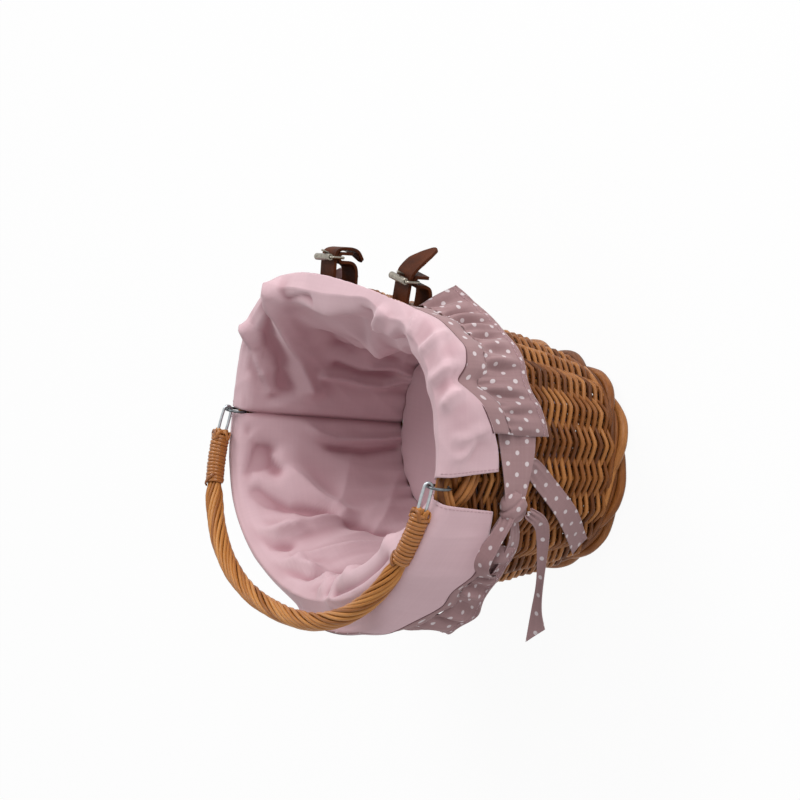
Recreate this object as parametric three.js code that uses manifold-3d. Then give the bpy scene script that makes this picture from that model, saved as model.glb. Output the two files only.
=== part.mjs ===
// A wicker bicycle basket with a cloth liner, a swinging handle and two leather straps.
// Millimetres, +Z up. The origin is the middle of the underside of the woven base. The front is -Y,
// the back with the straps is +Y, and the handle is hung at +X and -X.

import * as THREE from 'three';
import { mergeVertices } from 'three/addons/utils/BufferGeometryUtils.js';
import Module from 'manifold-3d';

// Woven body
const BODY_HEIGHT = 164; // underside of the base to the top of the rim
const MOUTH_HALF_WIDTH = 157; // outer face of the wall, carried up to the rim
const MOUTH_FRONT_DEPTH = 113;
const MOUTH_BACK_DEPTH = 115;
const FRONT_FULLNESS = 2.15; // 2 is an ellipse, and more is squarer
const BACK_FULLNESS = 2.9;
const FLARE = 31; // how far the wall leans out between base and rim
const FOOT_TUCK = 6; // how far it curves in besides, close to the base
const WALL_THICKNESS = 6;
const STAKE_COUNT = 28;
const STAKE_SHIFT = 5.8; // first stake behind the handle
const COURSE_COUNT = 20; // each course stands for two rods laid together
const WEAVE_DEPTH = 2.4; // the rods bow out and in by this much at the stakes
const BASE_THICKNESS = 9;
const BASE_WEAVE_DEPTH = 0.8;
const BASE_CENTRE_SHARE = 0.35; // flat crossing of the base sticks, as a share of the base
const FOOT_DROP = 9; // foot border below the base
const FOOT_ROD_HEIGHT = 4.8;
const FOOT_ROD_WIDTH = 7;
const FOOT_FLAT = 0.4; // worn flat where it stands
const BORDER_HEIGHT = 34; // plaited border at the rim
const BORDER_THICKNESS = 13;
const BORDER_FULLNESS = 2.4;
const PLAIT_DEPTH = 1;

// Cloth
const LINER_THICKNESS = 1.6;
const CREST_RISE = 1.6; // top of the cloth's fold above the rim
const CUFF_SLACK = 1; // cuff to the border
const FLOOR_EASE = 0.5; // floor to the panels sewn round it
const FRONT_SAG = 10; // slack of the panels, sagging in at the top
const BACK_SAG = 10;
const CUFF_LENGTH = 44; // outside, below the fold, at the handle
const FRONT_HEM_LIFT = 33; // shorter cuffs in front and behind, where the slack has taken up their cloth
const FRONT_HEM_OUT = 12;
const BACK_HEM_LIFT = 32;
const BACK_SLACK_LENGTH = 50; // the back's slack and lift come in over this depth
const BACK_HEM_OUT = 4;
const SLIT_AT_RIM = 16; // opening between the cuffs at the handle
const SLIT_AT_HEM = 44;
const NOTCH_MARGIN = 2; // cloth's edge to the straps
const HEM_GAP = 0.95; // cuff's hem to the band
const BAND_HEIGHT = 14;
const BAND_THICKNESS = 1.6;
const BAND_SETBACK = 18; // bands and ruffles end this far past the cuff's hem
const RUFFLE_HEIGHT = 30;
const RUFFLE_THICKNESS = 1.2;
const RUFFLE_FOLD_LENGTH = 26;
const RUFFLE_WAVE = 4.5;
const RUFFLE_FLARE = 4;
const RIBBON_THICKNESS = 0.8;
const KNOT_Y = -12;
const KNOT_OUT = 12; // from the wall's outer face
const KNOT_RADIUS = new THREE.Vector3(7.5, 9, 9.5);
const BACK_RIBBON_WIDTH = 32; // where it leaves the band and ruffle
const FRONT_RIBBON_WIDTH = 13;
const RIBBON_END_WIDTH = 11; // gathered into the knot
const LONG_TAIL_REACH = 94; // forward of the knot
const LONG_TAIL_DROP = 42;
const LONG_TAIL_CURL = 24; // how far its end turns back towards the wall
const LONG_TAIL_WIDTH = 14;
const LONG_TAIL_TWIST = 75; // degrees
const WALL_TAIL_START = new THREE.Vector2(14, -15); // y, and height from the bands' lower edge
const WALL_TAIL_END = new THREE.Vector2(-46, -84);
const WALL_TAIL_OUT = 3.9; // from the wall's outer face
const WALL_TAIL_FLARE = 4.1;
const WALL_TAIL_WIDTH = 17;
const LOOP_REACH = 49;
const LOOP_RISE = 8;
const LOOP_FLARE = 8.5;
const LOOP_OPENING = 10;
const LOOP_WIDTH = 20;

// Handle
const BAIL_REACH = 122; // hinge axis to the far side of the arch, along its middle
const BAIL_FULLNESS = 2.3;
const BAIL_DIAMETER = 13.5;
const BAIL_STRANDS = 7;
const STRAND_DEPTH = 1.3;
const BAIL_TWIST_LENGTH = 110; // one full turn of the strands
const BAIL_CORE_DIAMETER = 10.4; // ends under the cane binding
const BAIL_REST_TILT = 10; // degrees above the rim, as it lies at the front
const BINDING_LENGTH = 38;
const BINDING_TURNS = 13;
const CANE_DIAMETER = 2;
const EYE_REACH = 18; // hinge axis to the end of the handle
const EYE_EMBED = 12; // length inside the handle
const EYE_WIRE = 2.2;
const EYE_HALF_WIDTH = 3; // middle of the eye to the middle of its wire
const RING_WIRE = 2;
const RING_CLEARANCE = 0.3; // inside the ring, past the border

// Straps and buckles
const STRAP_SPACING = 110;
const STRAP_WIDTH = 20;
const STRAP_THICKNESS = 2.4;
const STRAP_UPPER_DROP = 11; // below the top of the rim
const STRAP_LOWER_DROP = 29;
const STRAP_SLOT_CLEARANCE = 0.8;
const STRAP_BEND = 3; // radius of its bends inside the rim
const STRAP_EASE = 0.8; // to the border and the cloth, inside the rim
const STRAP_SIDE_GAP = 0.8; // to the buckle's sides
const STRAP_FOLD_BACK = 8; // end of the strap, past the heel bar
const BUCKLE_OUT = 19.5; // heel bar from the middle of the border
const BUCKLE_WIRE = 2.2;
const BUCKLE_CORNER = 3;
const ROLLER_DIAMETER = 6;
const ROLLER_WALL = 1;
const PRONG_THICKNESS = 1.6;
const PRONG_WIDTH = 2.4;
const PRONG_OVERHANG = 2; // past the middle of the roller
const PRONG_LIFT = 12; // degrees it can rise from the roller
const PRONG_SLOT_CLEARANCE = 0.6;

const GAP = 0.4; // between pieces that touch

const wasm = await Module();
wasm.setup();

const willow = new THREE.MeshStandardMaterial({ color: 0x96613c, roughness: 0.55 });
const paleWillow = new THREE.MeshStandardMaterial({ color: 0xb37743, roughness: 0.5 });
const cane = new THREE.MeshStandardMaterial({ color: 0xa86a36, roughness: 0.45 });
const cotton = new THREE.MeshStandardMaterial({ color: 0xcab0b7, roughness: 0.9 });
const dottedCotton = new THREE.MeshStandardMaterial({ color: 0xa98b8e, roughness: 0.9 });
const zinc = new THREE.MeshStandardMaterial({ color: 0x8f9699, roughness: 0.4, metalness: 1 });
const darkWire = new THREE.MeshStandardMaterial({ color: 0x5d6265, roughness: 0.45, metalness: 1 });
const leather = new THREE.MeshStandardMaterial({ color: 0x4d2b1e, roughness: 0.5 });
const nickel = new THREE.MeshStandardMaterial({ color: 0xb3aca0, roughness: 0.3, metalness: 1 });

const basket = new THREE.Group();

function addPart(name, geometry, material, parent = basket) {
  geometry.computeVertexNormals();
  const mesh = new THREE.Mesh(geometry, material);
  mesh.name = name;
  parent.add(mesh);
  return mesh;
}

// Plan and lean of the basket

function outline(angle, inset) {
  const across = Math.cos(angle);
  const along = Math.sin(angle);
  const power = 2 / (along > 0 ? BACK_FULLNESS : FRONT_FULLNESS);
  const depth = along > 0 ? MOUTH_BACK_DEPTH : MOUTH_FRONT_DEPTH;
  return new THREE.Vector2(
    Math.sign(across) * Math.abs(across) ** power * (MOUTH_HALF_WIDTH - inset),
    Math.sign(along) * Math.abs(along) ** power * (depth - inset),
  );
}

function spot(angle, inset, z) {
  const place = outline(angle, inset);
  return new THREE.Vector3(place.x, place.y, z);
}

function leanIn(z) {
  const below = 1 - z / BODY_HEIGHT;
  return FLARE * below + FOOT_TUCK * below ** 4;
}

// Distances round the mouth run from the middle of the back, over the left, front and right.
const PLAN_STEPS = 1440;
const planAngles = [];
const planDistances = [];
for (let k = 0, run = 0; k <= PLAN_STEPS; k++) {
  const angle = Math.PI / 2 + (2 * Math.PI * k) / PLAN_STEPS;
  if (k > 0) run += outline(angle, 0).distanceTo(outline(planAngles[k - 1], 0));
  planAngles.push(angle);
  planDistances.push(run);
}
const PERIMETER = planDistances[PLAN_STEPS];
const STATION_STEP = PERIMETER / 57; // the cloth round the mouth is straight between its stations

function interpolate(value, from, to) {
  let k = 1;
  while (k < PLAN_STEPS && from[k] < value) k++;
  const share = (value - from[k - 1]) / (from[k] - from[k - 1]);
  return to[k - 1] + (to[k] - to[k - 1]) * share;
}

function angleAt(distance) {
  return interpolate(THREE.MathUtils.euclideanModulo(distance, PERIMETER), planDistances, planAngles);
}

const distanceOf = (angle) => interpolate(angle, planAngles, planDistances);

const LEFT_SEAM = distanceOf(Math.PI);
const RIGHT_SEAM = distanceOf(2 * Math.PI);
const stakeAngle = (share) => angleAt(RIGHT_SEAM + STAKE_SHIFT + PERIMETER * share);

function backAngle(x) {
  return Math.acos(Math.sign(x) * (Math.abs(x) / MOUTH_HALF_WIDTH) ** (BACK_FULLNESS / 2));
}

// Solids

function signedVolume(points, faces) {
  let sum = 0;
  const cross = new THREE.Vector3();
  for (let k = 0; k < faces.length; k += 3) {
    sum += points[faces[k]].dot(cross.crossVectors(points[faces[k + 1]], points[faces[k + 2]]));
  }
  return sum;
}

// Skins rings of equally many points into one closed body, split along the shorter diagonals. A looped
// body joins its last ring to its first; otherwise each end is closed by strips across the ring.
function loft(rings, looped = false) {
  const size = rings[0].length;
  const points = rings.flat();
  const faces = [];
  const addFace = (a, b, c) => {
    const flat = [[a, b], [b, c], [c, a]].some(([p, q]) => points[p].distanceTo(points[q]) < 1e-5);
    if (!flat) faces.push(a, b, c);
  };
  const spans = looped ? rings.length : rings.length - 1;
  for (let r = 0; r < spans; r++) {
    const here = r * size;
    const next = ((r + 1) % rings.length) * size;
    for (let k = 0; k < size; k++) {
      const m = (k + 1) % size;
      const [a, b, c, d] = [here + k, here + m, next + m, next + k];
      const longer = points[a].distanceTo(points[c]) > points[b].distanceTo(points[d]) + 1e-3;
      addFace(a, b, longer ? d : c);
      addFace(longer ? b : a, c, d);
    }
  }
  if (!looped) {
    const end = (rings.length - 1) * size;
    for (let k = 0; k < size / 2 - 1; k++) {
      const far = size - 1 - k;
      addFace(k, far, far - 1);
      addFace(k, far - 1, k + 1);
      addFace(end + k, end + far - 1, end + far);
      addFace(end + k, end + k + 1, end + far - 1);
    }
  }
  if (signedVolume(points, faces) < 0) faces.reverse();
  const geometry = new THREE.BufferGeometry().setFromPoints(points);
  geometry.setIndex(faces);
  return mergeVertices(geometry, 1e-4);
}

function toSolid(geometry) {
  const plain = geometry.clone();
  plain.deleteAttribute('normal');
  plain.deleteAttribute('uv');
  const merged = mergeVertices(plain, 1e-4);
  const vertProperties = new Float32Array(merged.attributes.position.array);
  const triVerts = new Uint32Array(merged.index.array);
  return new wasm.Manifold(new wasm.Mesh({ numProp: 3, vertProperties, triVerts }));
}

function fromSolid(solid) {
  const { vertProperties, triVerts } = solid.getMesh();
  const geometry = new THREE.BufferGeometry();
  geometry.setAttribute('position', new THREE.BufferAttribute(new Float32Array(vertProperties), 3));
  geometry.setIndex(new THREE.BufferAttribute(new Uint32Array(triVerts), 1));
  return geometry;
}

function cut(geometry, ...tools) {
  return fromSolid(tools.reduce((solid, tool) => solid.subtract(toSolid(tool)), toSolid(geometry)));
}

function fuse(first, ...others) {
  return fromSolid(others.reduce((solid, other) => solid.add(toSolid(other)), toSolid(first)));
}

function box(sizeX, sizeY, sizeZ, centre) {
  return new THREE.BoxGeometry(sizeX, sizeY, sizeZ).translate(centre.x, centre.y, centre.z);
}

// Two parallel sides of a strip along a flat route, as one outline.
function stripOutline(route, thickness) {
  const sides = route.map((point, k) => {
    const before = route[Math.max(k - 1, 0)];
    const after = route[Math.min(k + 1, route.length - 1)];
    const ahead = after.clone().sub(before).normalize();
    const aside = new THREE.Vector2(-ahead.y, ahead.x).multiplyScalar(thickness / 2);
    return [point.clone().add(aside), point.clone().sub(aside)];
  });
  return [...sides.map((pair) => pair[0]), ...sides.map((pair) => pair[1]).reverse()];
}

const profileToYZ = new THREE.Matrix4().makeBasis(
  new THREE.Vector3(0, 1, 0), new THREE.Vector3(0, 0, 1), new THREE.Vector3(1, 0, 0),
);

// Extrudes a profile of y and z along X, about its middle.
function extrudeAlongX(shape, width) {
  const geometry = new THREE.ExtrudeGeometry(shape, { depth: width, bevelEnabled: false, curveSegments: 9 });
  return geometry.translate(0, 0, -width / 2).applyMatrix4(profileToYZ);
}

// A round wire along a route that lies in one plane.
function wire(route, planeNormal, radius, sides) {
  const rings = route.map((point, k) => {
    const before = route[Math.max(k - 1, 0)];
    const after = route[Math.min(k + 1, route.length - 1)];
    const aside = after.clone().sub(before).cross(planeNormal).normalize();
    return Array.from({ length: sides }, (_, s) => {
      const turn = (2 * Math.PI * s) / sides;
      return point.clone()
        .addScaledVector(aside, radius * Math.cos(turn))
        .addScaledVector(planeNormal, radius * Math.sin(turn));
    });
  });
  return loft(rings);
}

// Woven wall: courses pass in turn outside and inside the stakes

function wovenWall() {
  const columns = 2 * STAKE_COUNT;
  const innerLevels = 3;
  const top = BODY_HEIGHT - BORDER_HEIGHT - GAP;
  const rings = [];
  for (let column = 0; column < columns; column++) {
    const angle = stakeAngle(column / columns);
    const ring = [];
    for (let course = 0; course <= COURSE_COUNT; course++) {
      const z = (top * course) / COURSE_COUNT;
      const atStake = column % 2 === 0;
      const side = (column / 2 + course) % 2 === 0 ? 1 : -1;
      ring.push(spot(angle, leanIn(z) - (atStake ? side * WEAVE_DEPTH : 0), z));
    }
    for (let level = innerLevels; level >= 0; level--) {
      const z = (top * level) / innerLevels;
      ring.push(spot(angle, leanIn(z) + WALL_THICKNESS, z));
    }
    rings.push(ring);
  }
  return loft(rings, true);
}

addPart('woven_wall', wovenWall(), willow);

// Base: woven rings round the flat crossing of its sticks

function basePanel() {
  const columns = 2 * STAKE_COUNT;
  const weaveRings = 4;
  const rings = [];
  for (let column = 0; column < columns; column++) {
    const angle = stakeAngle(column / columns);
    const edge = spot(angle, leanIn(0) + WALL_THICKNESS + GAP, 0);
    const topEdge = spot(angle, leanIn(BASE_THICKNESS) + WALL_THICKNESS + GAP, BASE_THICKNESS);
    const ring = [new THREE.Vector3()];
    for (let k = 0; k < weaveRings; k++) {
      const share = BASE_CENTRE_SHARE + ((1 - BASE_CENTRE_SHARE) * k) / weaveRings;
      ring.push(edge.clone().multiplyScalar(share).setZ(k % 2 ? BASE_WEAVE_DEPTH : 0));
    }
    ring.push(edge, topEdge, new THREE.Vector3(0, 0, BASE_THICKNESS));
    rings.push(ring);
  }
  return loft(rings, true);
}

addPart('base_panel', basePanel(), willow);

// Foot border: one rod that waves between the wall and the ground, a scallop to each stake

function footBorder() {
  const stepsEach = 4;
  const sides = 6;
  const steps = STAKE_COUNT * stepsEach;
  const high = -GAP - FOOT_ROD_HEIGHT / 2;
  const low = -FOOT_DROP - FOOT_FLAT + FOOT_ROD_HEIGHT / 2;
  const middle = leanIn(0) + WALL_THICKNESS / 2 - FOOT_ROD_WIDTH / 4;
  const rings = [];
  for (let step = 0; step < steps; step++) {
    const angle = stakeAngle(step / steps);
    const wave = (1 - Math.cos((2 * Math.PI * step) / stepsEach)) / 2;
    const centre = THREE.MathUtils.lerp(low, high, wave);
    const ring = [];
    for (let side = 0; side < sides; side++) {
      const turn = (2 * Math.PI * (side + 0.5)) / sides;
      const z = centre + (FOOT_ROD_HEIGHT / 2) * Math.cos(turn) / Math.cos(Math.PI / sides);
      ring.push(spot(angle, middle + (FOOT_ROD_WIDTH / 2) * Math.sin(turn), Math.max(z, -FOOT_DROP)));
    }
    rings.push(ring);
  }
  return loft(rings, true);
}

addPart('foot_border', footBorder(), willow);

// Rim border: a thick plait, pierced for the handle rings and the straps

const RIM_INSET = WALL_THICKNESS / 2; // middle of the border, in from the wall's outer face
const RING_RADIUS = BORDER_THICKNESS / 2 + RING_CLEARANCE + RING_WIRE / 2;
const RING_X = MOUTH_HALF_WIDTH - RIM_INSET;
const HINGE_Z = BODY_HEIGHT + RING_RADIUS; // the eyes hang on the tops of the rings

function strapPlace(side) {
  const angle = backAngle((side * STRAP_SPACING) / 2);
  const step = 0.01;
  const tangent = outline(angle - step, RIM_INSET).sub(outline(angle + step, RIM_INSET));
  const group = new THREE.Group();
  group.position.copy(spot(angle, RIM_INSET, BODY_HEIGHT));
  group.rotation.z = Math.atan2(tangent.y, tangent.x);
  group.updateMatrix();
  return group;
}

function rimBorder() {
  const stepsEach = 3;
  const sides = 8;
  const ridges = 3; // round the section
  const steps = STAKE_COUNT * stepsEach;
  const middleZ = BODY_HEIGHT - BORDER_HEIGHT / 2;
  const power = 2 / BORDER_FULLNESS;
  const rings = [];
  for (let step = 0; step < steps; step++) {
    const angle = stakeAngle(step / steps);
    const ring = [];
    for (let side = 0; side < sides; side++) {
      const turn = (2 * Math.PI * side) / sides;
      const ridge = Math.cos(ridges * turn - (2 * Math.PI * step) / stepsEach);
      const groove = (PLAIT_DEPTH * (1 - ridge)) / 2;
      const out = Math.sign(Math.cos(turn)) * Math.abs(Math.cos(turn)) ** power;
      const up = Math.sign(Math.sin(turn)) * Math.abs(Math.sin(turn)) ** power;
      const z = middleZ + up * (BORDER_HEIGHT / 2 - groove * Math.abs(up));
      ring.push(spot(angle, leanIn(z) + RIM_INSET - out * (BORDER_THICKNESS / 2 - groove), z));
    }
    rings.push(ring);
  }
  const through = 4 * BORDER_THICKNESS;
  const ringBottom = BODY_HEIGHT - RING_RADIUS - RING_WIRE / 2 - STRAP_SLOT_CLEARANCE;
  const ringSlotHeight = RING_RADIUS / 2 + RING_WIRE;
  const tools = [1, -1].map((side) => box(
    through, RING_WIRE + 2 * STRAP_SLOT_CLEARANCE, ringSlotHeight,
    new THREE.Vector3(side * RING_X, 0, ringBottom + ringSlotHeight / 2),
  ));
  for (const side of [1, -1]) {
    for (const drop of [STRAP_UPPER_DROP, STRAP_LOWER_DROP]) {
      const slot = box(
        STRAP_WIDTH + 2 * STRAP_SLOT_CLEARANCE, through, STRAP_THICKNESS + 2 * STRAP_SLOT_CLEARANCE,
        new THREE.Vector3(0, 0, -drop),
      );
      tools.push(slot.applyMatrix4(strapPlace(side).matrix));
    }
  }
  return cut(loft(rings, true), ...tools);
}

addPart('rim_border', rimBorder(), willow);

// Liner: two sewn panels, each up the inside, over the rim and down into a cuff

const LINER_STANDOFF = STRAP_THICKNESS + 2 * STRAP_EASE; // room for the straps behind the cloth
const FLOOR_Z = BASE_THICKNESS + GAP;
const FOLD_Z = BODY_HEIGHT - 2 * GAP; // where the cloth starts over the rim
const HEM_Z = FOLD_Z - CUFF_LENGTH;
const insideCloth = (z) => leanIn(z) + RIM_INSET + BORDER_THICKNESS / 2 + LINER_STANDOFF + LINER_THICKNESS / 2;
const outsideCloth = (z) => leanIn(z) + RIM_INSET - BORDER_THICKNESS / 2 - CUFF_SLACK - LINER_THICKNESS / 2;

// How the slack grows from nothing at the handle to its full size in the middle of the front or back.
const frontShare = (angle) => Math.max(-Math.sin(angle), 0) ** 2;

function backShare(angle) {
  const start = SLIT_AT_HEM / 2 + BAND_SETBACK;
  return THREE.MathUtils.smoothstep(outline(angle, 0).y, start, start + BACK_SLACK_LENGTH);
}

function stations(from, to) {
  const list = [from];
  for (let k = Math.ceil(from / STATION_STEP + 0.1); k * STATION_STEP < to - 0.1 * STATION_STEP; k++) {
    list.push(k * STATION_STEP);
  }
  return [...list, to];
}

function betweenStations(distance, valueOf) {
  const low = Math.floor(distance / STATION_STEP);
  const [before, after] = [low, low + 1].map((k) => valueOf(angleAt(k * STATION_STEP)));
  return THREE.MathUtils.lerp(before, after, distance / STATION_STEP - low);
}

const hemZ = (distance) => HEM_Z + betweenStations(
  distance, (angle) => FRONT_HEM_LIFT * frontShare(angle) + BACK_HEM_LIFT * backShare(angle),
);
const hemOut = (distance) => betweenStations(
  distance, (angle) => FRONT_HEM_OUT * frontShare(angle) + BACK_HEM_OUT * backShare(angle),
);

// Section of the cloth, as inset and height: up the inside, over the rim and down to the hem.
function linerRoute(distance) {
  const insideLevels = 4;
  const foldSteps = 4;
  const angle = angleAt(distance);
  const sag = FRONT_SAG * frontShare(angle) + BACK_SAG * backShare(angle);
  const inner = insideCloth(FOLD_Z) + sag;
  const outer = outsideCloth(FOLD_Z);
  const rise = BODY_HEIGHT + GAP + CREST_RISE - FOLD_Z;
  const route = [];
  for (let level = 0; level < insideLevels; level++) {
    const share = level / insideLevels;
    const z = THREE.MathUtils.lerp(FLOOR_Z, FOLD_Z, share);
    route.push(new THREE.Vector2(insideCloth(z) + sag * share ** 5, z));
  }
  for (let k = 0; k <= foldSteps; k++) {
    const turn = (Math.PI * k) / foldSteps;
    const inset = (inner + outer) / 2 + ((inner - outer) / 2) * Math.cos(turn);
    route.push(new THREE.Vector2(inset, FOLD_Z + rise * Math.sin(turn)));
  }
  const hem = hemZ(distance);
  route.push(new THREE.Vector2(outsideCloth(hem) - hemOut(distance), hem));
  return route;
}

function linerPanel(from, to) {
  return loft(stations(from, to).map((distance) => {
    const section = stripOutline(linerRoute(distance), LINER_THICKNESS);
    return section.map((point) => spot(angleAt(distance), point.x, point.y));
  }));
}

// The cuffs part at the handle, wider towards the hem.
function cuffSlit(side) {
  const past = 2 * LINER_THICKNESS;
  const top = BODY_HEIGHT + CREST_RISE + past;
  const half = [[SLIT_AT_HEM / 2, HEM_Z - past], [SLIT_AT_RIM / 2, FOLD_Z], [SLIT_AT_RIM / 2, top]];
  const corners = [...half, ...half.map(([y, z]) => [-y, z]).reverse()];
  const shape = new THREE.Shape(corners.map(([y, z]) => new THREE.Vector2(y, z)));
  const depth = 2 * BORDER_THICKNESS + LINER_STANDOFF;
  const inner = RING_X - BORDER_THICKNESS / 2 - LINER_STANDOFF;
  return extrudeAlongX(shape, depth).translate(side * (inner + depth / 2), 0, 0);
}

// Between the straps the cloth stops at the outer edge of the rim's top.
const NOTCH_HALF = STRAP_SPACING / 2 + STRAP_WIDTH / 2 + NOTCH_MARGIN;
const NOTCH_LEFT = distanceOf(backAngle(-NOTCH_HALF));
const NOTCH_RIGHT = distanceOf(2 * Math.PI + backAngle(NOTCH_HALF));

function strapNotch() {
  const inner = outline(backAngle(NOTCH_HALF), 0).y;
  const depth = 3 * BORDER_THICKNESS;
  const height = 2 * CUFF_LENGTH;
  return box(2 * NOTCH_HALF, depth, height, new THREE.Vector3(0, inner + depth / 2, FOLD_Z));
}

const slits = [cuffSlit(1), cuffSlit(-1)];
const frontPanel = linerPanel(LEFT_SEAM + GAP / 2, RIGHT_SEAM - GAP / 2);
const backPanel = linerPanel(RIGHT_SEAM + GAP / 2, PERIMETER + LEFT_SEAM - GAP / 2);
addPart('liner_front_panel', cut(frontPanel, ...slits), cotton);
addPart('liner_back_panel', cut(backPanel, ...slits, strapNotch()), cotton);

function linerFloor() {
  const steps = 60;
  const inset = insideCloth(FLOOR_Z) + LINER_THICKNESS / 2 + FLOOR_EASE;
  const edge = Array.from({ length: steps }, (_, k) => outline(angleAt((PERIMETER * k) / steps), inset));
  const plate = new THREE.ExtrudeGeometry(new THREE.Shape(edge), { depth: LINER_THICKNESS, bevelEnabled: false });
  return plate.translate(0, 0, FLOOR_Z);
}

addPart('liner_floor', linerFloor(), cotton);

// Dotted bands under the cuff, and gathered ruffles under the bands

const BAND_BOTTOM = HEM_Z - HEM_GAP - BAND_HEIGHT; // at the handle
const BAND_END = SLIT_AT_HEM / 2 + BAND_SETBACK;

function dotBand(from, to) {
  return loft(stations(from, to).map((distance) => {
    const top = hemZ(distance) - HEM_GAP;
    const bottom = top - BAND_HEIGHT;
    return [[-1, top], [-1, bottom], [1, bottom], [1, top]].map(([side, z]) => {
      const inset = outsideCloth(z) - hemOut(distance) + (side * BAND_THICKNESS) / 2;
      return spot(angleAt(distance), inset, z);
    });
  }));
}

function ruffle(from, to) {
  const levels = 3;
  const whole = stations(from, to);
  const halved = whole.flatMap((distance, k) => (k > 0 ? [(whole[k - 1] + distance) / 2, distance] : [distance]));
  return loft(halved.map((distance) => {
    const wave = Math.sin((2 * Math.PI * distance) / RUFFLE_FOLD_LENGTH);
    const top = hemZ(distance) - HEM_GAP - BAND_HEIGHT - GAP;
    const faces = [1, -1].map((side) => Array.from({ length: levels }, (_, level) => {
      const fall = level / (levels - 1);
      const z = top - RUFFLE_HEIGHT * fall;
      const out = hemOut(distance) + fall * (RUFFLE_FLARE + RUFFLE_WAVE * wave);
      return spot(angleAt(distance), outsideCloth(z) - out - (side * RUFFLE_THICKNESS) / 2, z);
    }));
    return [...faces[0], ...faces[1].reverse()];
  }));
}

const trimRuns = [
  ['front', LEFT_SEAM + BAND_END, RIGHT_SEAM - BAND_END],
  ['back_right', RIGHT_SEAM + BAND_END, NOTCH_RIGHT],
  ['back_left', PERIMETER + NOTCH_LEFT, PERIMETER + LEFT_SEAM - BAND_END],
];
for (const [place, from, to] of trimRuns) {
  addPart(`dot_band_${place}`, dotBand(from, to), dottedCotton);
  addPart(`ruffle_${place}`, ruffle(from, to), dottedCotton);
}

// Ties: ribbons from the ends of the bands, knotted across the handle's slit on each side

function sidePlace(y, z, out) {
  const depth = (y > 0 ? MOUTH_BACK_DEPTH : MOUTH_FRONT_DEPTH) - leanIn(z);
  const fullness = y > 0 ? BACK_FULLNESS : FRONT_FULLNESS;
  const x = (MOUTH_HALF_WIDTH - leanIn(z)) * (1 - Math.min(Math.abs(y) / depth, 1) ** fullness) ** (1 / fullness);
  return new THREE.Vector3(x + out, y, z);
}

// Each stop of a ribbon is a place, its width and how far it is turned about its length.
function ribbon(stops, looped) {
  const steps = 3 * stops.length;
  const curve = new THREE.CatmullRomCurve3(stops.map((stop) => stop.place));
  const outward = new THREE.Vector3(1, 0, 0);
  const upward = new THREE.Vector3(0, 0, 1);
  const rings = [];
  for (let k = 0; k <= steps; k++) {
    const share = k / steps;
    const at = share * (stops.length - 1);
    const low = Math.min(Math.floor(at), stops.length - 2);
    const width = THREE.MathUtils.lerp(stops[low].width, stops[low + 1].width, at - low);
    const turn = THREE.MathUtils.degToRad(THREE.MathUtils.lerp(stops[low].turn, stops[low + 1].turn, at - low));
    const ahead = curve.getTangent(share);
    const edge = looped ? upward.clone().projectOnPlane(ahead) : ahead.clone().cross(outward);
    const across = edge.normalize().applyAxisAngle(ahead, turn);
    const through = ahead.clone().cross(across);
    rings.push([[-1, -1], [-1, 1], [1, 1], [1, -1]].map(([a, b]) => curve.getPoint(share)
      .addScaledVector(across, (a * width) / 2)
      .addScaledVector(through, (b * RIBBON_THICKNESS) / 2)));
  }
  return loft(rings);
}

const TIE_Z = BAND_BOTTOM;
const KNOT_CENTRE = sidePlace(KNOT_Y, TIE_Z, KNOT_OUT);
const BAND_OUT = BORDER_THICKNESS / 2 - RIM_INSET + CUFF_SLACK + LINER_THICKNESS / 2; // from the wall's outer face
const BAND_BACK_Y = outline(angleAt(RIGHT_SEAM + BAND_END), outsideCloth(BAND_BOTTOM)).y - 3 * GAP;
const BAND_FRONT_Y = outline(angleAt(RIGHT_SEAM - BAND_END), outsideCloth(BAND_BOTTOM)).y + 5 * GAP;

// The stops below lie at a share of each ribbon's way, beside the wall or clear of it.
function bandStop(share, bandY, rise, width) {
  return {
    place: sidePlace(
      THREE.MathUtils.lerp(bandY, KNOT_Y, share), TIE_Z + rise * (1 - share),
      THREE.MathUtils.lerp(BAND_OUT, KNOT_OUT, share ** 0.8),
    ),
    width: THREE.MathUtils.lerp(width, RIBBON_END_WIDTH, share),
    turn: 0,
  };
}

function longTailStop(share) {
  return {
    place: new THREE.Vector3(
      KNOT_CENTRE.x + KNOT_RADIUS.x / 2 - LONG_TAIL_CURL * share,
      KNOT_Y - LONG_TAIL_REACH * share,
      TIE_Z - LONG_TAIL_DROP * share ** 0.33,
    ),
    width: THREE.MathUtils.lerp(RIBBON_END_WIDTH, LONG_TAIL_WIDTH, Math.sqrt(share)),
    turn: LONG_TAIL_TWIST * (0.25 + 0.75 * share),
  };
}

function wallTailStop(share) {
  const way = WALL_TAIL_START.clone().lerp(WALL_TAIL_END, share);
  return {
    place: sidePlace(way.x, TIE_Z + way.y, WALL_TAIL_OUT + WALL_TAIL_FLARE * share ** 2),
    width: WALL_TAIL_WIDTH,
    turn: 0,
  };
}

function loopStop(share, side) {
  const half = (LOOP_OPENING / 2) * (0.2 + 0.8 * share);
  return {
    place: sidePlace(
      KNOT_Y - LOOP_REACH * share, TIE_Z + LOOP_RISE * share ** 0.3,
      KNOT_OUT + KNOT_RADIUS.x / 3 + LOOP_FLARE * share + side * half,
    ),
    width: THREE.MathUtils.lerp(RIBBON_END_WIDTH, LOOP_WIDTH, Math.sqrt(share)),
    turn: 0,
  };
}

function knot(growth) {
  const geometry = new THREE.SphereGeometry(1, 10, 7);
  geometry.scale(KNOT_RADIUS.x + growth, KNOT_RADIUS.y + growth, KNOT_RADIUS.z + growth);
  return geometry.translate(KNOT_CENTRE.x, KNOT_CENTRE.y, KNOT_CENTRE.z);
}

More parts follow.
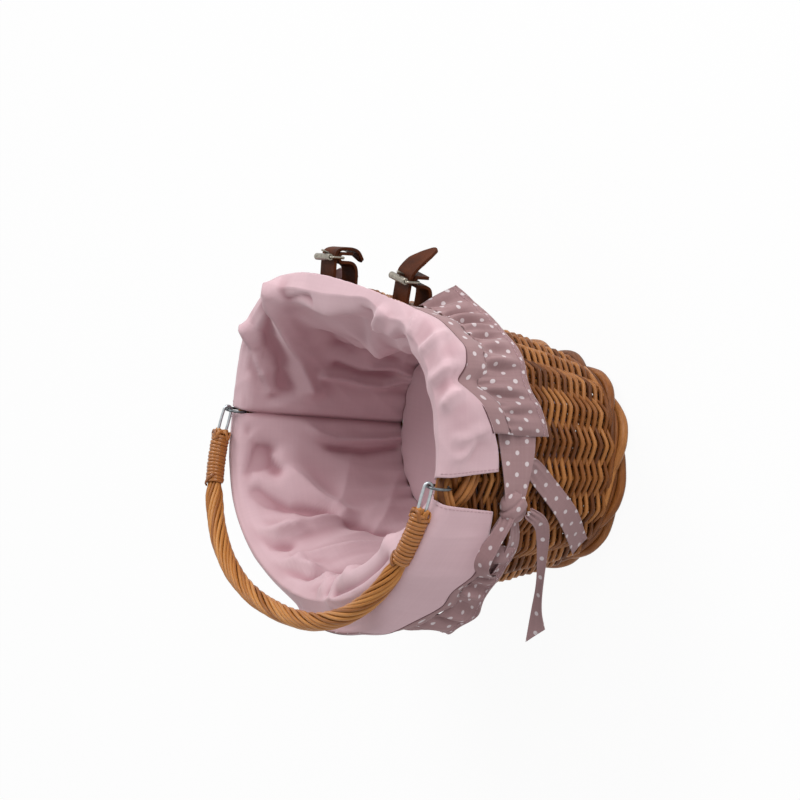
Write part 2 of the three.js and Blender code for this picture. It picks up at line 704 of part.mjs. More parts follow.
const tieRibbons = {
  back_ribbon: [0, 0.35, 0.7, 0.96].map((share) => bandStop(share, BAND_BACK_Y, 0, BACK_RIBBON_WIDTH)),
  front_ribbon: [0, 0.5, 0.93].map((share) => bandStop(share, BAND_FRONT_Y, BAND_HEIGHT / 2, FRONT_RIBBON_WIDTH)),
  long_tail: [0.01, 0.25, 0.5, 0.8, 1].map(longTailStop),
  wall_tail: [0, 0.2, 0.57, 1].map(wallTailStop),
  bow_loop: [
    ...[0.04, 0.45, 0.86].map((share) => loopStop(share, 1)),
    loopStop(1, 0),
    ...[0.86, 0.45, 0.06].map((share) => loopStop(share, -1)),
  ],
};

for (const [side, mirror] of [['right', 1], ['left', -1]]) {
  const pieces = { knot: knot(0) };
  for (const [name, stops] of Object.entries(tieRibbons)) {
    pieces[name] = cut(ribbon(stops, name === 'bow_loop'), knot(GAP));
  }
  for (const [name, geometry] of Object.entries(pieces)) {
    const flipped = mirror < 0 ? fromSolid(toSolid(geometry).mirror([1, 0, 0])) : geometry;
    addPart(`${side}_tie_${name}`, flipped, dottedCotton);
  }
}

// Handle: built flat about its hinge axis, reaching to -Y, then tilted to where it lies

const handle = new THREE.Group();
handle.position.z = HINGE_Z;
handle.rotation.x = -THREE.MathUtils.degToRad(BAIL_REST_TILT);
basket.add(handle);

const bailStart = Math.asin((EYE_REACH / BAIL_REACH) ** (BAIL_FULLNESS / 2));

class BailCurve extends THREE.Curve {
  getPoint(share, target = new THREE.Vector3()) {
    const angle = THREE.MathUtils.lerp(bailStart, Math.PI - bailStart, share);
    const power = 2 / BAIL_FULLNESS;
    const across = Math.cos(angle);
    return target.set(
      Math.sign(across) * Math.abs(across) ** power * RING_X,
      -(Math.sin(angle) ** power) * BAIL_REACH,
      0,
    );
  }
}

const bailCurve = new BailCurve();
bailCurve.arcLengthDivisions = 800;
const BAIL_LENGTH = bailCurve.getLength();
const up = new THREE.Vector3(0, 0, 1);

function bailFrame(distance) {
  const share = THREE.MathUtils.clamp(distance / BAIL_LENGTH, 0, 1);
  const ahead = bailCurve.getTangentAt(share);
  return { place: bailCurve.getPointAt(share), ahead, aside: up.clone().cross(ahead) };
}

function around(frame, radius, turn) {
  return frame.place.clone()
    .addScaledVector(frame.aside, radius * Math.cos(turn))
    .addScaledVector(up, radius * Math.sin(turn));
}

function bail() {
  const twistSteps = 44;
  const coreSteps = 5;
  const sides = 2 * BAIL_STRANDS;
  const ring = (distance, radiusOf) => {
    const frame = bailFrame(distance);
    const twist = (2 * Math.PI * distance) / BAIL_TWIST_LENGTH;
    return Array.from({ length: sides }, (_, k) => around(frame, radiusOf(k), (2 * Math.PI * k) / sides + twist));
  };
  const core = () => BAIL_CORE_DIAMETER / 2;
  const strands = (k) => BAIL_DIAMETER / 2 - (k % 2 ? STRAND_DEPTH : 0);
  const coreEnd = BINDING_LENGTH + CANE_DIAMETER;
  const rings = [];
  for (let k = 0; k <= coreSteps; k++) rings.push(ring((coreEnd * k) / coreSteps, core));
  for (let k = 0; k <= twistSteps; k++) {
    rings.push(ring(THREE.MathUtils.lerp(coreEnd + GAP, BAIL_LENGTH - coreEnd - GAP, k / twistSteps), strands));
  }
  for (let k = coreSteps; k >= 0; k--) rings.push(ring(BAIL_LENGTH - (coreEnd * k) / coreSteps, core));
  const socketDepth = EYE_EMBED + GAP;
  const sockets = [1, -1].map((side) => box(
    EYE_WIRE + 2 * GAP, 2 * socketDepth, 2 * EYE_HALF_WIDTH + EYE_WIRE + 2 * GAP,
    new THREE.Vector3(side * bailFrame(0).place.x, -EYE_REACH, 0),
  ));
  return cut(loft(rings), ...sockets);
}

addPart('handle_bail', bail(), paleWillow, handle);

// Cane binding: one unbroken winding on each end of the bail

function bindingRoute() {
  const stepsEach = 8;
  const steps = BINDING_TURNS * stepsEach;
  const radius = (BAIL_CORE_DIAMETER / 2 + GAP + CANE_DIAMETER / 2) / Math.cos(Math.PI / stepsEach);
  const first = CANE_DIAMETER / 2 + GAP;
  const last = first + BINDING_LENGTH - CANE_DIAMETER;
  const route = [];
  for (let k = 0; k <= steps; k++) {
    const frame = bailFrame(THREE.MathUtils.lerp(first, last, k / steps));
    const turn = (2 * Math.PI * k) / stepsEach;
    const outward = around(frame, 1, turn).sub(frame.place);
    route.push({ place: around(frame, radius, turn), outward, stepsEach });
  }
  const lead = (end, next) => {
    const ahead = end.place.clone().sub(next.place).setLength(CANE_DIAMETER);
    return { place: end.place.clone().add(ahead), outward: end.outward, stepsEach };
  };
  return [lead(route[0], route[1]), ...route, lead(route[steps], route[steps - 1])];
}

function binding(route) {
  const sides = 5;
  return loft(route.map((point, k) => {
    const before = route[Math.max(k - 1, 0)].place;
    const ahead = route[Math.min(k + 1, route.length - 1)].place.clone().sub(before).normalize();
    const aside = ahead.clone().cross(point.outward).normalize();
    const outward = aside.clone().cross(ahead);
    return Array.from({ length: sides }, (_, s) => {
      const turn = (2 * Math.PI * s) / sides;
      return point.place.clone()
        .addScaledVector(outward, (CANE_DIAMETER / 2) * Math.cos(turn))
        .addScaledVector(aside, (CANE_DIAMETER / 2) * Math.sin(turn));
    });
  }));
}

function leastGap(route) {
  const apart = Math.floor(route[0].stepsEach / 2);
  let least = Infinity;
  for (let a = 0; a < route.length; a++) {
    for (let b = a + apart; b < route.length; b++) {
      least = Math.min(least, route[a].place.distanceTo(route[b].place) - CANE_DIAMETER);
    }
  }
  return least;
}

const rightBinding = bindingRoute();
console.log(`cane binding: ${BINDING_TURNS} turns, least gap to itself ${leastGap(rightBinding).toFixed(2)} mm`);
const rightBindingSolid = binding(rightBinding);
addPart('right_binding', rightBindingSolid, cane, handle);
addPart('left_binding', fromSolid(toSolid(rightBindingSolid).mirror([1, 0, 0])), cane, handle);

// Wire eyes in the ends of the bail, hung on the rings in the rim

function eye(x) {
  const bendSteps = 8;
  const legEnd = -EYE_REACH - EYE_EMBED;
  const route = [new THREE.Vector3(x, legEnd, -EYE_HALF_WIDTH)];
  for (let k = 0; k <= bendSteps; k++) {
    const turn = -Math.PI / 2 + (Math.PI * k) / bendSteps;
    route.push(new THREE.Vector3(x, EYE_HALF_WIDTH * Math.cos(turn), EYE_HALF_WIDTH * Math.sin(turn)));
  }
  route.push(new THREE.Vector3(x, legEnd, EYE_HALF_WIDTH));
  return wire(route, new THREE.Vector3(1, 0, 0), EYE_WIRE / 2, 6);
}

const eyeX = bailFrame(0).place.x;
for (const [name, mirror] of [['right', 1], ['left', -1]]) {
  addPart(`${name}_eye`, eye(mirror * eyeX), zinc, handle);
  const ring = new THREE.TorusGeometry(RING_RADIUS, RING_WIRE / 2, 6, 20).rotateX(Math.PI / 2);
  addPart(`${name}_ring`, ring, darkWire).position.set(mirror * RING_X, 0, BODY_HEIGHT);
}

// Straps: each threaded through the rim, with a folded end on the buckle and a loose tail.
// Profiles are drawn as distance out from the middle of the border and height from the rim's top.

const BAR_CORNER = (BUCKLE_WIRE / 2) * Math.SQRT2;
const FOLD_RADIUS = BAR_CORNER + GAP + STRAP_THICKNESS / 2;
const RUN_Z = -STRAP_UPPER_DROP; // strap where it rises through the buckle
const ROLLER_Z = RUN_Z + STRAP_THICKNESS / 2 + GAP + ROLLER_DIAMETER / 2;
const HEEL_Z = RUN_Z - STRAP_THICKNESS - GAP - FOLD_RADIUS;
const PRONG_REST = Math.atan2(ROLLER_DIAMETER / 2 + GAP + PRONG_THICKNESS / 2, ROLLER_Z - HEEL_Z);
const TAIL_OVER = BUCKLE_OUT + FOLD_RADIUS + STRAP_THICKNESS + 2 * GAP; // tail over the folded end

const tails = {
  left: [[TAIL_OVER - 8, 27], [TAIL_OVER - 1, 19], [TAIL_OVER + 0.5, 9], [TAIL_OVER - 1.5, 2]],
  right: [[TAIL_OVER + 15, 22], [TAIL_OVER + 10, 11], [TAIL_OVER + 4, 4], [TAIL_OVER - 2, 0.6]],
};

function strapProfile(tail) {
  const insideRun = (drop) => -leanIn(BODY_HEIGHT - drop) - BORDER_THICKNESS / 2 - STRAP_EASE - STRAP_THICKNESS / 2;
  const upper = insideRun(STRAP_UPPER_DROP);
  const lower = insideRun(STRAP_LOWER_DROP);
  const lowerZ = -STRAP_LOWER_DROP;
  const faceOut = BORDER_THICKNESS / 2;
  const path = new THREE.Path();
  const [tip, ...bends] = tail.map(([out, drop]) => new THREE.Vector2(out, RUN_Z - drop));
  path.moveTo(tip.x, tip.y);
  path.splineThru([...bends, new THREE.Vector2(BUCKLE_OUT, RUN_Z)]);
  path.lineTo(upper + STRAP_BEND, RUN_Z);
  path.quadraticCurveTo(upper, RUN_Z, upper, RUN_Z - STRAP_BEND);
  path.lineTo(lower, lowerZ + STRAP_BEND);
  path.quadraticCurveTo(lower, lowerZ, lower + STRAP_BEND, lowerZ);
  path.lineTo(faceOut, lowerZ);
  path.bezierCurveTo(
    BUCKLE_OUT - FOLD_RADIUS / 2, lowerZ,
    BUCKLE_OUT - FOLD_RADIUS, HEEL_Z - FOLD_RADIUS * 2,
    BUCKLE_OUT - FOLD_RADIUS, HEEL_Z,
  );
  path.absarc(BUCKLE_OUT, HEEL_Z, FOLD_RADIUS, Math.PI, 0, true);
  path.lineTo(BUCKLE_OUT + FOLD_RADIUS, HEEL_Z - STRAP_FOLD_BACK);
  return path;
}

const COLLAR_BORE = BAR_CORNER + GAP;

function prongArm(width, thickness, tilt) {
  const length = (ROLLER_Z - HEEL_Z) / Math.cos(PRONG_REST) + PRONG_OVERHANG;
  return box(width, thickness, length, new THREE.Vector3(0, 0, length / 2))
    .rotateX(-tilt).translate(0, BUCKLE_OUT, HEEL_Z);
}

function heelDisc(radius, width) {
  return extrudeAlongX(new THREE.Shape().absarc(BUCKLE_OUT, HEEL_Z, radius, 0, 2 * Math.PI), width);
}

// A slot in the fold for the prong's collar, and a hole that the prong rises through.
function strap(tail) {
  const steps = 56;
  const route = strapProfile(tail).getSpacedPoints(steps);
  const band = extrudeAlongX(new THREE.Shape(stripOutline(route, STRAP_THICKNESS)), STRAP_WIDTH);
  const slotWidth = PRONG_WIDTH + 2 * PRONG_SLOT_CLEARANCE;
  const armWidth = PRONG_THICKNESS + 2 * PRONG_SLOT_CLEARANCE;
  const arms = [0, PRONG_LIFT / 2, PRONG_LIFT].map((lift) => (
    prongArm(slotWidth, armWidth, PRONG_REST + THREE.MathUtils.degToRad(lift))
  ));
  return cut(band, heelDisc(FOLD_RADIUS + STRAP_THICKNESS / 2 + GAP / 2, slotWidth), ...arms);
}

function buckleFrame() {
  const half = STRAP_WIDTH / 2 + STRAP_SIDE_GAP;
  const low = HEEL_Z - BUCKLE_WIRE / 2;
  const high = ROLLER_Z + BUCKLE_WIRE / 2;
  const outer = half + BUCKLE_WIRE;
  const corner = BUCKLE_CORNER;
  const shape = new THREE.Shape();
  shape.moveTo(-outer + corner, low);
  shape.lineTo(outer - corner, low);
  shape.quadraticCurveTo(outer, low, outer, low + corner);
  shape.lineTo(outer, high - corner);
  shape.quadraticCurveTo(outer, high, outer - corner, high);
  shape.lineTo(-outer + corner, high);
  shape.quadraticCurveTo(-outer, high, -outer, high - corner);
  shape.lineTo(-outer, low + corner);
  shape.quadraticCurveTo(-outer, low, -outer + corner, low);
  const opening = new THREE.Path();
  opening.moveTo(-half, low + BUCKLE_WIRE);
  opening.lineTo(-half, high - BUCKLE_WIRE);
  opening.lineTo(half, high - BUCKLE_WIRE);
  opening.lineTo(half, low + BUCKLE_WIRE);
  opening.closePath();
  shape.holes.push(opening);
  const geometry = new THREE.ExtrudeGeometry(shape, { depth: BUCKLE_WIRE, bevelEnabled: false, curveSegments: 3 });
  const toFrame = new THREE.Matrix4().makeBasis(
    new THREE.Vector3(1, 0, 0), new THREE.Vector3(0, 0, 1), new THREE.Vector3(0, -1, 0),
  );
  return geometry.applyMatrix4(toFrame).translate(0, BUCKLE_OUT + BUCKLE_WIRE / 2, 0);
}

function roller() {
  const half = STRAP_WIDTH / 2 + STRAP_SIDE_GAP - GAP;
  const outer = ROLLER_DIAMETER / 2;
  const inner = outer - ROLLER_WALL;
  const section = [[inner, -half], [outer, -half], [outer, half], [inner, half], [inner, -half]];
  const profile = section.map(([radius, along]) => new THREE.Vector2(radius, along));
  return new THREE.LatheGeometry(profile, 16).rotateZ(Math.PI / 2).translate(0, BUCKLE_OUT, ROLLER_Z);
}

function prong() {
  const collar = heelDisc(COLLAR_BORE + PRONG_THICKNESS, PRONG_WIDTH);
  const solid = fuse(collar, prongArm(PRONG_WIDTH, PRONG_THICKNESS, PRONG_REST));
  return cut(solid, heelDisc(COLLAR_BORE, 2 * PRONG_WIDTH));
}

for (const [side, direction] of [['left', -1], ['right', 1]]) {
  const place = strapPlace(direction);
  basket.add(place);
  addPart(`${side}_strap`, strap(tails[side]), leather, place);
  addPart(`${side}_buckle_frame`, buckleFrame(), nickel, place);
  addPart(`${side}_buckle_roller`, roller(), nickel, place);
  addPart(`${side}_buckle_prong`, prong(), nickel, place);
}

export default basket;
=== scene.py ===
import math

import bpy
import numpy as np
from mathutils import Matrix, Vector


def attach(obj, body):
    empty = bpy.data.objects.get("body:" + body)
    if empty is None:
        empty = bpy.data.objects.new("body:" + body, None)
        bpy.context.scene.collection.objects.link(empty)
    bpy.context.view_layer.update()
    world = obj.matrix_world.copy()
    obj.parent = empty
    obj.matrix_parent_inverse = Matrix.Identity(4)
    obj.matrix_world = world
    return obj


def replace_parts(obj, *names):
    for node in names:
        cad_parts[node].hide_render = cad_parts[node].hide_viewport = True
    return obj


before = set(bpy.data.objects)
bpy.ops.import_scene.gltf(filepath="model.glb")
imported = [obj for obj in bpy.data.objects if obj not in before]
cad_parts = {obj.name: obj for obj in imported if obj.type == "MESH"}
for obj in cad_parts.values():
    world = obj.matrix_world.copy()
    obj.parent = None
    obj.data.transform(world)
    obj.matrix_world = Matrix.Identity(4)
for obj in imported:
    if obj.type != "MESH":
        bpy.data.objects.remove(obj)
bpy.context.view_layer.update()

# Base: thin willow sticks laid across each other, with long rods woven round them in ovals. The
# ovals pass over one stick and under the next, and the outermost lies against the wall's stakes.

mm = 0.001  # sizes are in millimetres, and become metres in the meshes and maps
mouth_x, mouth_back, mouth_front = 157, 115, 113
back_fullness, front_fullness = 2.9, 2.15
rim_top, wall_lean, foot_curve = 164, 31, 6


def stacked(*parts):
    return np.stack(np.broadcast_arrays(*parts), axis=-1)


def unit(arrows):
    return arrows / np.linalg.norm(arrows, axis=-1, keepdims=True)


def runs_along(line):
    """Distances along a line of places."""
    return np.concatenate([[0], np.cumsum(np.linalg.norm(np.diff(line, axis=0), axis=1))])


def plan_spot(turn, inset, height):
    """A place on the basket's oval plan, inset from the outer face of the mouth."""
    across, along = np.cos(turn), np.sin(turn)
    power = 2 / np.where(along > 0, back_fullness, front_fullness)
    depth = np.where(along > 0, mouth_back, mouth_front)
    x = np.sign(across) * np.abs(across) ** power * (mouth_x - inset)
    y = np.sign(along) * np.abs(along) ** power * (depth - inset)
    return stacked(x, y, height)


def lean_in(height):
    """How far the wall stands in from the mouth at a height."""
    below = 1 - height / rim_top
    return wall_lean * below + foot_curve * below**4


# Runs round the mouth go from the middle of the back over the left, front and right.
plan_turns = np.radians(90) + np.linspace(0, 2 * np.pi, 1441)
plan_runs = runs_along(plan_spot(plan_turns, 0, 0))
mouth_round = plan_runs[-1]
left_seam, right_seam = plan_runs[360], plan_runs[1080]


def turn_at(run):
    return np.interp(np.mod(run, mouth_round), plan_runs, plan_turns)


def draw_map(mesh, spots):
    """Lays a mesh out flat, with a spot on its map for each vertex."""
    corner = np.empty(len(mesh.loops), int)
    mesh.loops.foreach_get("vertex_index", corner)
    layer = mesh.uv_layers[0]
    layer.name = "lay"
    layer.uv.foreach_set("vector", spots[corner].astype(np.float32).ravel())


def face_outwards(merge=True):
    """Turns the faces of the active piece outwards, after its meeting edges are merged."""
    bpy.ops.object.mode_set(mode="EDIT")
    bpy.ops.mesh.select_all(action="SELECT")
    if merge:
        bpy.ops.mesh.remove_doubles(threshold=1e-6)
    bpy.ops.mesh.normals_make_consistent(inside=False)
    bpy.ops.object.mode_set(mode="OBJECT")


def rolled_grid(name, places, lay, merge=True):
    """A grid laid over rows of places, with its map."""
    rows, columns = places.shape[:2]
    bpy.ops.object.select_all(action="DESELECT")
    bpy.ops.mesh.primitive_grid_add(x_subdivisions=columns - 1, y_subdivisions=rows - 1, size=1)
    piece = bpy.context.object
    piece.name = piece.data.name = name
    flat = np.empty(len(piece.data.vertices) * 3)
    piece.data.vertices.foreach_get("co", flat)
    column, row = (np.rint((flat[k::3] + 0.5) * (n - 1)).astype(int) for k, n in enumerate((columns, rows)))
    piece.data.vertices.foreach_set("co", (places[row, column] * mm).ravel())
    draw_map(piece.data, lay[row, column])
    if merge:
        face_outwards()
    bpy.ops.object.shade_smooth()
    return piece


def joined(name, pieces, finish):
    """One named piece of several, in one finish."""
    bpy.ops.object.select_all(action="DESELECT")
    for piece in pieces:
        piece.select_set(True)
    bpy.context.view_layer.objects.active = pieces[0]
    if len(pieces) > 1:
        bpy.ops.object.join()
    piece = bpy.context.object
    piece.name = piece.data.name = name
    piece.data.materials.append(finish)
    return piece


def rod(route, thickness, number=0, sides=6, closed=False, beside=(0, 0, 1), flat=1.0):
    """A round rod along a route of places. Its map runs along it, and its number is its row."""
    route = np.asarray(route, float)
    radius = np.broadcast_to(np.asarray(thickness, float) / 2, len(route)).copy()
    beside = np.broadcast_to(beside, route.shape)
    if closed:
        ahead = np.roll(route, -1, 0) - np.roll(route, 1, 0)
        route, ahead, radius, beside = (np.concatenate([x, x[:1]]) for x in (route, ahead, radius, beside))
    else:
        ahead = np.gradient(route, axis=0)
        first, last = unit(ahead[0]) * radius[0], unit(ahead[-1]) * radius[-1]
        tips = [route[0] - first * s for s in (0.32, 0.22)]
        tails = [route[-1] + last * s for s in (0.22, 0.32)]
        route = np.concatenate([tips, route, tails])
        ahead, beside = (np.concatenate([[x[0]] * 2, x, [x[-1]] * 2]) for x in (ahead, beside))
        radius = np.concatenate([[0, radius[0] * 0.8], radius, [radius[-1] * 0.8, 0]])
    ahead = unit(ahead)
    aside = unit(np.cross(beside, ahead))
    over = np.cross(ahead, aside)
    around = np.linspace(0, 2 * np.pi, sides + 1)
    around[-1] = 0
    ring = aside[:, None] * np.cos(around)[:, None] + flat * over[:, None] * np.sin(around)[:, None]
    lay = stacked(runs_along(route)[:, None] * mm, number + np.linspace(0.02, 0.98, sides + 1))
    return rolled_grid("rod", route[:, None] + radius[:, None, None] * ring, lay)


def node_group(name, inputs, outputs):
    group = bpy.data.node_groups.new(name, "ShaderNodeTree")
    for in_out, sockets in (("INPUT", inputs), ("OUTPUT", outputs)):
        for socket, kind in sockets.items():
            group.interface.new_socket(socket, in_out=in_out, socket_type="NodeSocket" + kind)
    return group


def grow(tree, *rows):
    """Adds nodes by rows of name, kind, inputs and settings. An input is a value, or the name of the
    node and socket that feed it, and a row of no kind is a node that is there already."""
    for name, kind, inputs, *settings in rows:
        kind, _, operation = kind.partition(" ")
        if kind:
            made = tree.nodes.new(kind if kind.startswith("NodeGroup") else "ShaderNode" + kind)
            made.name, made.location.x = name, 200 * len(tree.nodes)
        made = tree.nodes[name]
        if operation:
            made.operation = operation
        for key, value in dict(*settings).items():
            if key == "stops":
                stops = made.color_ramp.elements
                while len(stops) < len(value):
                    stops.new(0.5)
                for stop, (position, colour) in zip(stops, value):
                    stop.position, stop.color = position, (*colour, 1)
            else:
                setattr(made, key, value)
        for key, value in inputs.items():
            if isinstance(value, str):
                source, _, socket = value.partition(".")
                tree.links.new(tree.nodes[source].outputs[socket or 0], made.inputs[key])
            else:
                made.inputs[key].default_value = value


shader = "Principled BSDF"


def new_finish(name, *rows):
    finish = bpy.data.materials.new(name)
    finish.use_nodes = True
    grow(finish.node_tree, *rows)
    return finish


grain = node_group("rod_grain", {"Lay": "Vector"}, {"Tone": "Float", "Height": "Float"})
grow(
    grain,
    ("lay", "NodeGroupInput", {}),
    ("split", "SeparateXYZ", {0: "lay"}),
    ("rod_number", "Math FLOOR", {0: "split.Y"}),
    ("rod_side", "Math FRACT", {0: "split.Y"}),
    ("side_turn", "Math MULTIPLY", {0: "rod_side", 1: 6.2832}),
    ("side_cos", "Math COSINE", {0: "side_turn"}),
    ("side_sin", "Math SINE", {0: "side_turn"}),
    ("far_apart", "Math MULTIPLY", {0: "rod_number", 1: 13.7}),
    ("side_shift", "Math ADD", {0: "side_sin", 1: "far_apart"}),
    ("along_streak", "Math MULTIPLY", {0: "split.X", 1: 55.0}),
    ("streak_place", "CombineXYZ", {0: "along_streak", 1: "side_cos", 2: "side_shift"}),
    ("streak", "TexNoise", {"Vector": "streak_place", "Scale": 2.6, "Detail": 4.0, "Roughness": 0.62}),
    ("along_slow", "Math MULTIPLY", {0: "split.X", 1: 17.0}),
    ("slow_place", "CombineXYZ", {0: "along_slow", 2: "far_apart"}),
    ("slow", "TexNoise", {"Vector": "slow_place", "Scale": 1.0, "Detail": 2.0}),
    ("own", "TexWhiteNoise", {"W": "rod_number"}, {"noise_dimensions": "1D"}),
    ("own_share", "Math MULTIPLY", {0: "own.Value", 1: 0.42}),
    ("slow_share", "Math MULTIPLY_ADD", {0: "slow", 1: 0.36, 2: "own_share"}),
    ("tone", "Math MULTIPLY_ADD", {0: "streak", 1: 0.42, 2: "slow_share"}),
    ("out", "NodeGroupOutput", {"Tone": "tone", "Height": "streak"}),
)


def rod_finish(name, colours, roughness, bump=0.25, gloss=0.22):
    """A willow or cane finish: dark to light colours along the grain of each rod."""
    return new_finish(
        name,
        ("lay", "UVMap", {}, {"uv_map": "lay"}),
        ("fibres", "Group", {"Lay": "lay"}, {"node_tree": grain}),
        ("ramp", "ValToRGB", {0: "fibres.Tone"}, {"stops": list(zip((0.3, 0.55, 0.86), colours))}),
        ("rub", "MapRange", {0: "fibres.Tone", "To Min": roughness + 0.12, "To Max": roughness - 0.08}),
        ("dent", "Bump", {"Strength": bump, "Distance": 0.0006, "Height": "fibres.Height"}),
        (shader, "", {"Base Color": "ramp", "Roughness": "rub", "Normal": "dent"}),
        (shader, "", {"Specular IOR Level": gloss}),
    )


willow = rod_finish("willow_rods", [(0.07, 0.019, 0.004), (0.215, 0.07, 0.0155), (0.45, 0.185, 0.054)], 0.42)

base_middle, stick_count, stick_length = 4.5, 28, 52
oval_count, oval_step, oval_swing = 16, 3.3, 2.5
outer_oval, stick_ends = lean_in(0) + 8.5, lean_in(0) + 7
long_half, long_spread, long_level = 56, 12, 2.7
short_half, short_spread, short_level = 17, 46, 6.6
base_rods = []
oval_runs = np.linspace(0, mouth_round, stick_count * 6, endpoint=False)
weave_step = np.pi * stick_count * oval_runs / mouth_round
for k in range(oval_count):
    inset = outer_oval + oval_step * k
    height = base_middle + oval_swing * np.cos(weave_step + np.pi * k)
    base_rods.append(rod(plan_spot(turn_at(oval_runs), inset, height), thickness=3.1, number=k, closed=True))
insets = stick_ends + np.linspace(stick_length, 0, 8)
for k in range(stick_count):
    turn = turn_at(mouth_round * k / stick_count)
    base_rods.append(rod(plan_spot(np.full(8, turn), insets, base_middle), thickness=3.4, number=20 + k))
for k, y in enumerate(np.linspace(-long_spread, long_spread, 5)):
    ends = long_half - 0.07 * y * y
    route = [(x, y, long_level) for x in np.linspace(-ends, ends, 12)]
    base_rods.append(rod(route, thickness=4.6, number=50 + k))
for k, x in enumerate(np.linspace(-short_spread, short_spread, 9)):
    ends = short_half - 0.003 * x * x
    route = [(x, y, short_level) for y in np.linspace(-ends, ends, 8)]
    base_rods.append(rod(route, thickness=4.0, number=60 + k))
base_weave = joined("base_weave", base_rods, willow)
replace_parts(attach(base_weave, "basket"), "base_panel")

# Wall: upright willow stakes, with thin rods woven round them one at a time. Each rod passes outside
# one stake and inside the next, and the row above does the opposite, so the rods lie in columns.
# Four thicker rods, each outside three stakes and inside one, start the wall at the base.

stake_count, wall_middle, past_seam, stake_foot, stake_top = 28, 3, 5.8, -2, 152
stake_shift = (right_seam + past_seam) % (mouth_round / stake_count)
stake_runs = stake_shift + np.arange(stake_count) * mouth_round / stake_count
heights = np.linspace(stake_foot, stake_top, 22)
wall_rods = []
for k, turn in enumerate(turn_at(stake_runs)):
    route = plan_spot(np.full(22, turn), lean_in(heights) + wall_middle, heights)
    wall_rods.append(rod(route, thickness=4.8, number=200 + k, beside=plan_spot(turn, 0, 0)))
row_count, row_step, first_row, steps_between = 41, 3.05, 9.4, 8
row_out, row_dip = 4.2, 1.7
start_level, start_lift, start_out, start_swing = 4.2, 3.0, 2.6, 5.6
stake_share = np.arange(stake_count * steps_between) / steps_between
step_turns = turn_at(stake_shift + stake_share * mouth_round / stake_count)
swing = np.arcsin(0.99 * np.cos(np.pi * stake_share)) / np.arcsin(0.99)
for row in range(row_count):
    side = 1 if row % 2 else -1
    waver = 0.3 * np.sin(2 * np.pi * (stake_share * (2 + row % 3) / stake_count + 0.37 * row))
    level = first_row + row_step * row + waver - row_dip * side * swing
    out = (row_out + 0.25 * np.sin(1.9 * stake_share + 2.3 * row)) * side * swing
    route = plan_spot(step_turns, lean_in(level) + wall_middle - out, level)
    wall_rods.append(rod(route, thickness=3.3 + 0.18 * math.sin(5.1 * row), number=row, closed=True))
for k in range(4):
    turn_share = 2 * np.pi * (stake_share + k) / 4
    out = start_out - start_swing * np.clip(np.cos(turn_share), 0, 1) ** 2
    level = start_level + start_lift * np.sin(turn_share)
    route = plan_spot(step_turns, lean_in(level) + wall_middle - out, level)
    wall_rods.append(rod(route, thickness=4.2, number=60 + k, closed=True))
woven_rods = joined("woven_wall_rods", wall_rods, willow)
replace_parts(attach(woven_rods, "basket"), "woven_wall")

# Foot: thick rods under the wall, one from every second stake. Each comes out from under the wall,
# bends down and along, and is tucked behind the next, so that they make a scalloped rope.

foot_rods = []
foot_count = stake_count // 2
share = np.linspace(0, 1, 31)
drop = np.interp(share, [0, 0.12, 0.3, 0.5, 0.7, 0.86, 1], [5.6, 3.4, -1.4, -4.8, -5.3, -3.4, -1.0])
out = np.interp(share, [0, 0.12, 0.3, 0.46, 0.62, 0.8, 1], [-1.6, 2.6, 5.4, 4.4, 0.2, -3.6, -4.6])
for line in (drop, out):
    for _ in range(3):
        line[1:-1] = (line[:-2] + 2 * line[1:-1] + line[2:]) / 4
for k in range(foot_count):
    along = stake_runs[2 * k] + mouth_round / foot_count * (2.1 * share - 0.1)
    route = plan_spot(turn_at(along), lean_in(0) + wall_middle - out, drop)
    foot_rods.append(rod(route, thickness=np.linspace(7.2, 6.4, 31), number=k, sides=9))
foot_rope = joined("foot_border_rods", foot_rods, willow)
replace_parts(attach(foot_rope, "basket"), "foot_border")

# Rim: the upper ends of the stakes, laid in flat groups of three and plaited together into a thick
# border round the mouth. A few rods run on behind the plait and close it towards the cloth.

rim_rods = []
plait_count, plait_steps = 8, 36
plait_middle, strand_half, strand_depth, lane_width = 147, 11.6, 3.7, 4.35
closing_low, closing_high, closing_inset = 133, 162, 3.6
steps = np.arange(plait_count * plait_steps)
plait_runs = mouth_round * steps / len(steps)
for strand in range(3):
    phase = 2 * np.pi * (steps / plait_steps + strand / 3)
    rise = strand_half * np.arcsin(0.93 * np.sin(phase)) / np.arcsin(0.93)
    slope = np.gradient(rise, mouth_round / len(steps))
    depth = strand_depth * np.sin(2 * phase)
    for lane in (-1, 0, 1):
        lie = lane * lane_width + 0.5 * np.sin(3 * phase / plait_count + 2.1 * lane + strand)
        aside = lie / np.sqrt(1 + slope**2)
        level = plait_middle + rise + aside
        turns = turn_at(plait_runs - aside * slope)
        route = plan_spot(turns, lean_in(level) + wall_middle - depth - 0.5 * lane, level)
        rim_rods.append(rod(route, thickness=4.5, number=3 * strand + lane, sides=8, closed=True))
for k, level in enumerate(np.linspace(closing_low, closing_high, 8)):
    route = plan_spot(turn_at(plait_runs[::2]), lean_in(level) + wall_middle + closing_inset, level)
    rim_rods.append(rod(route, thickness=4.4, number=12 + k, closed=True))
rim_plait = joined("rim_plait_rods", rim_rods, willow)
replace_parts(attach(rim_plait, "basket"), "rim_border")

# Handle rings: loops of dark steel wire through the rim on both sides, which the handle hangs on.
# Each is bent from one length of wire, with its two ends meeting side by side.


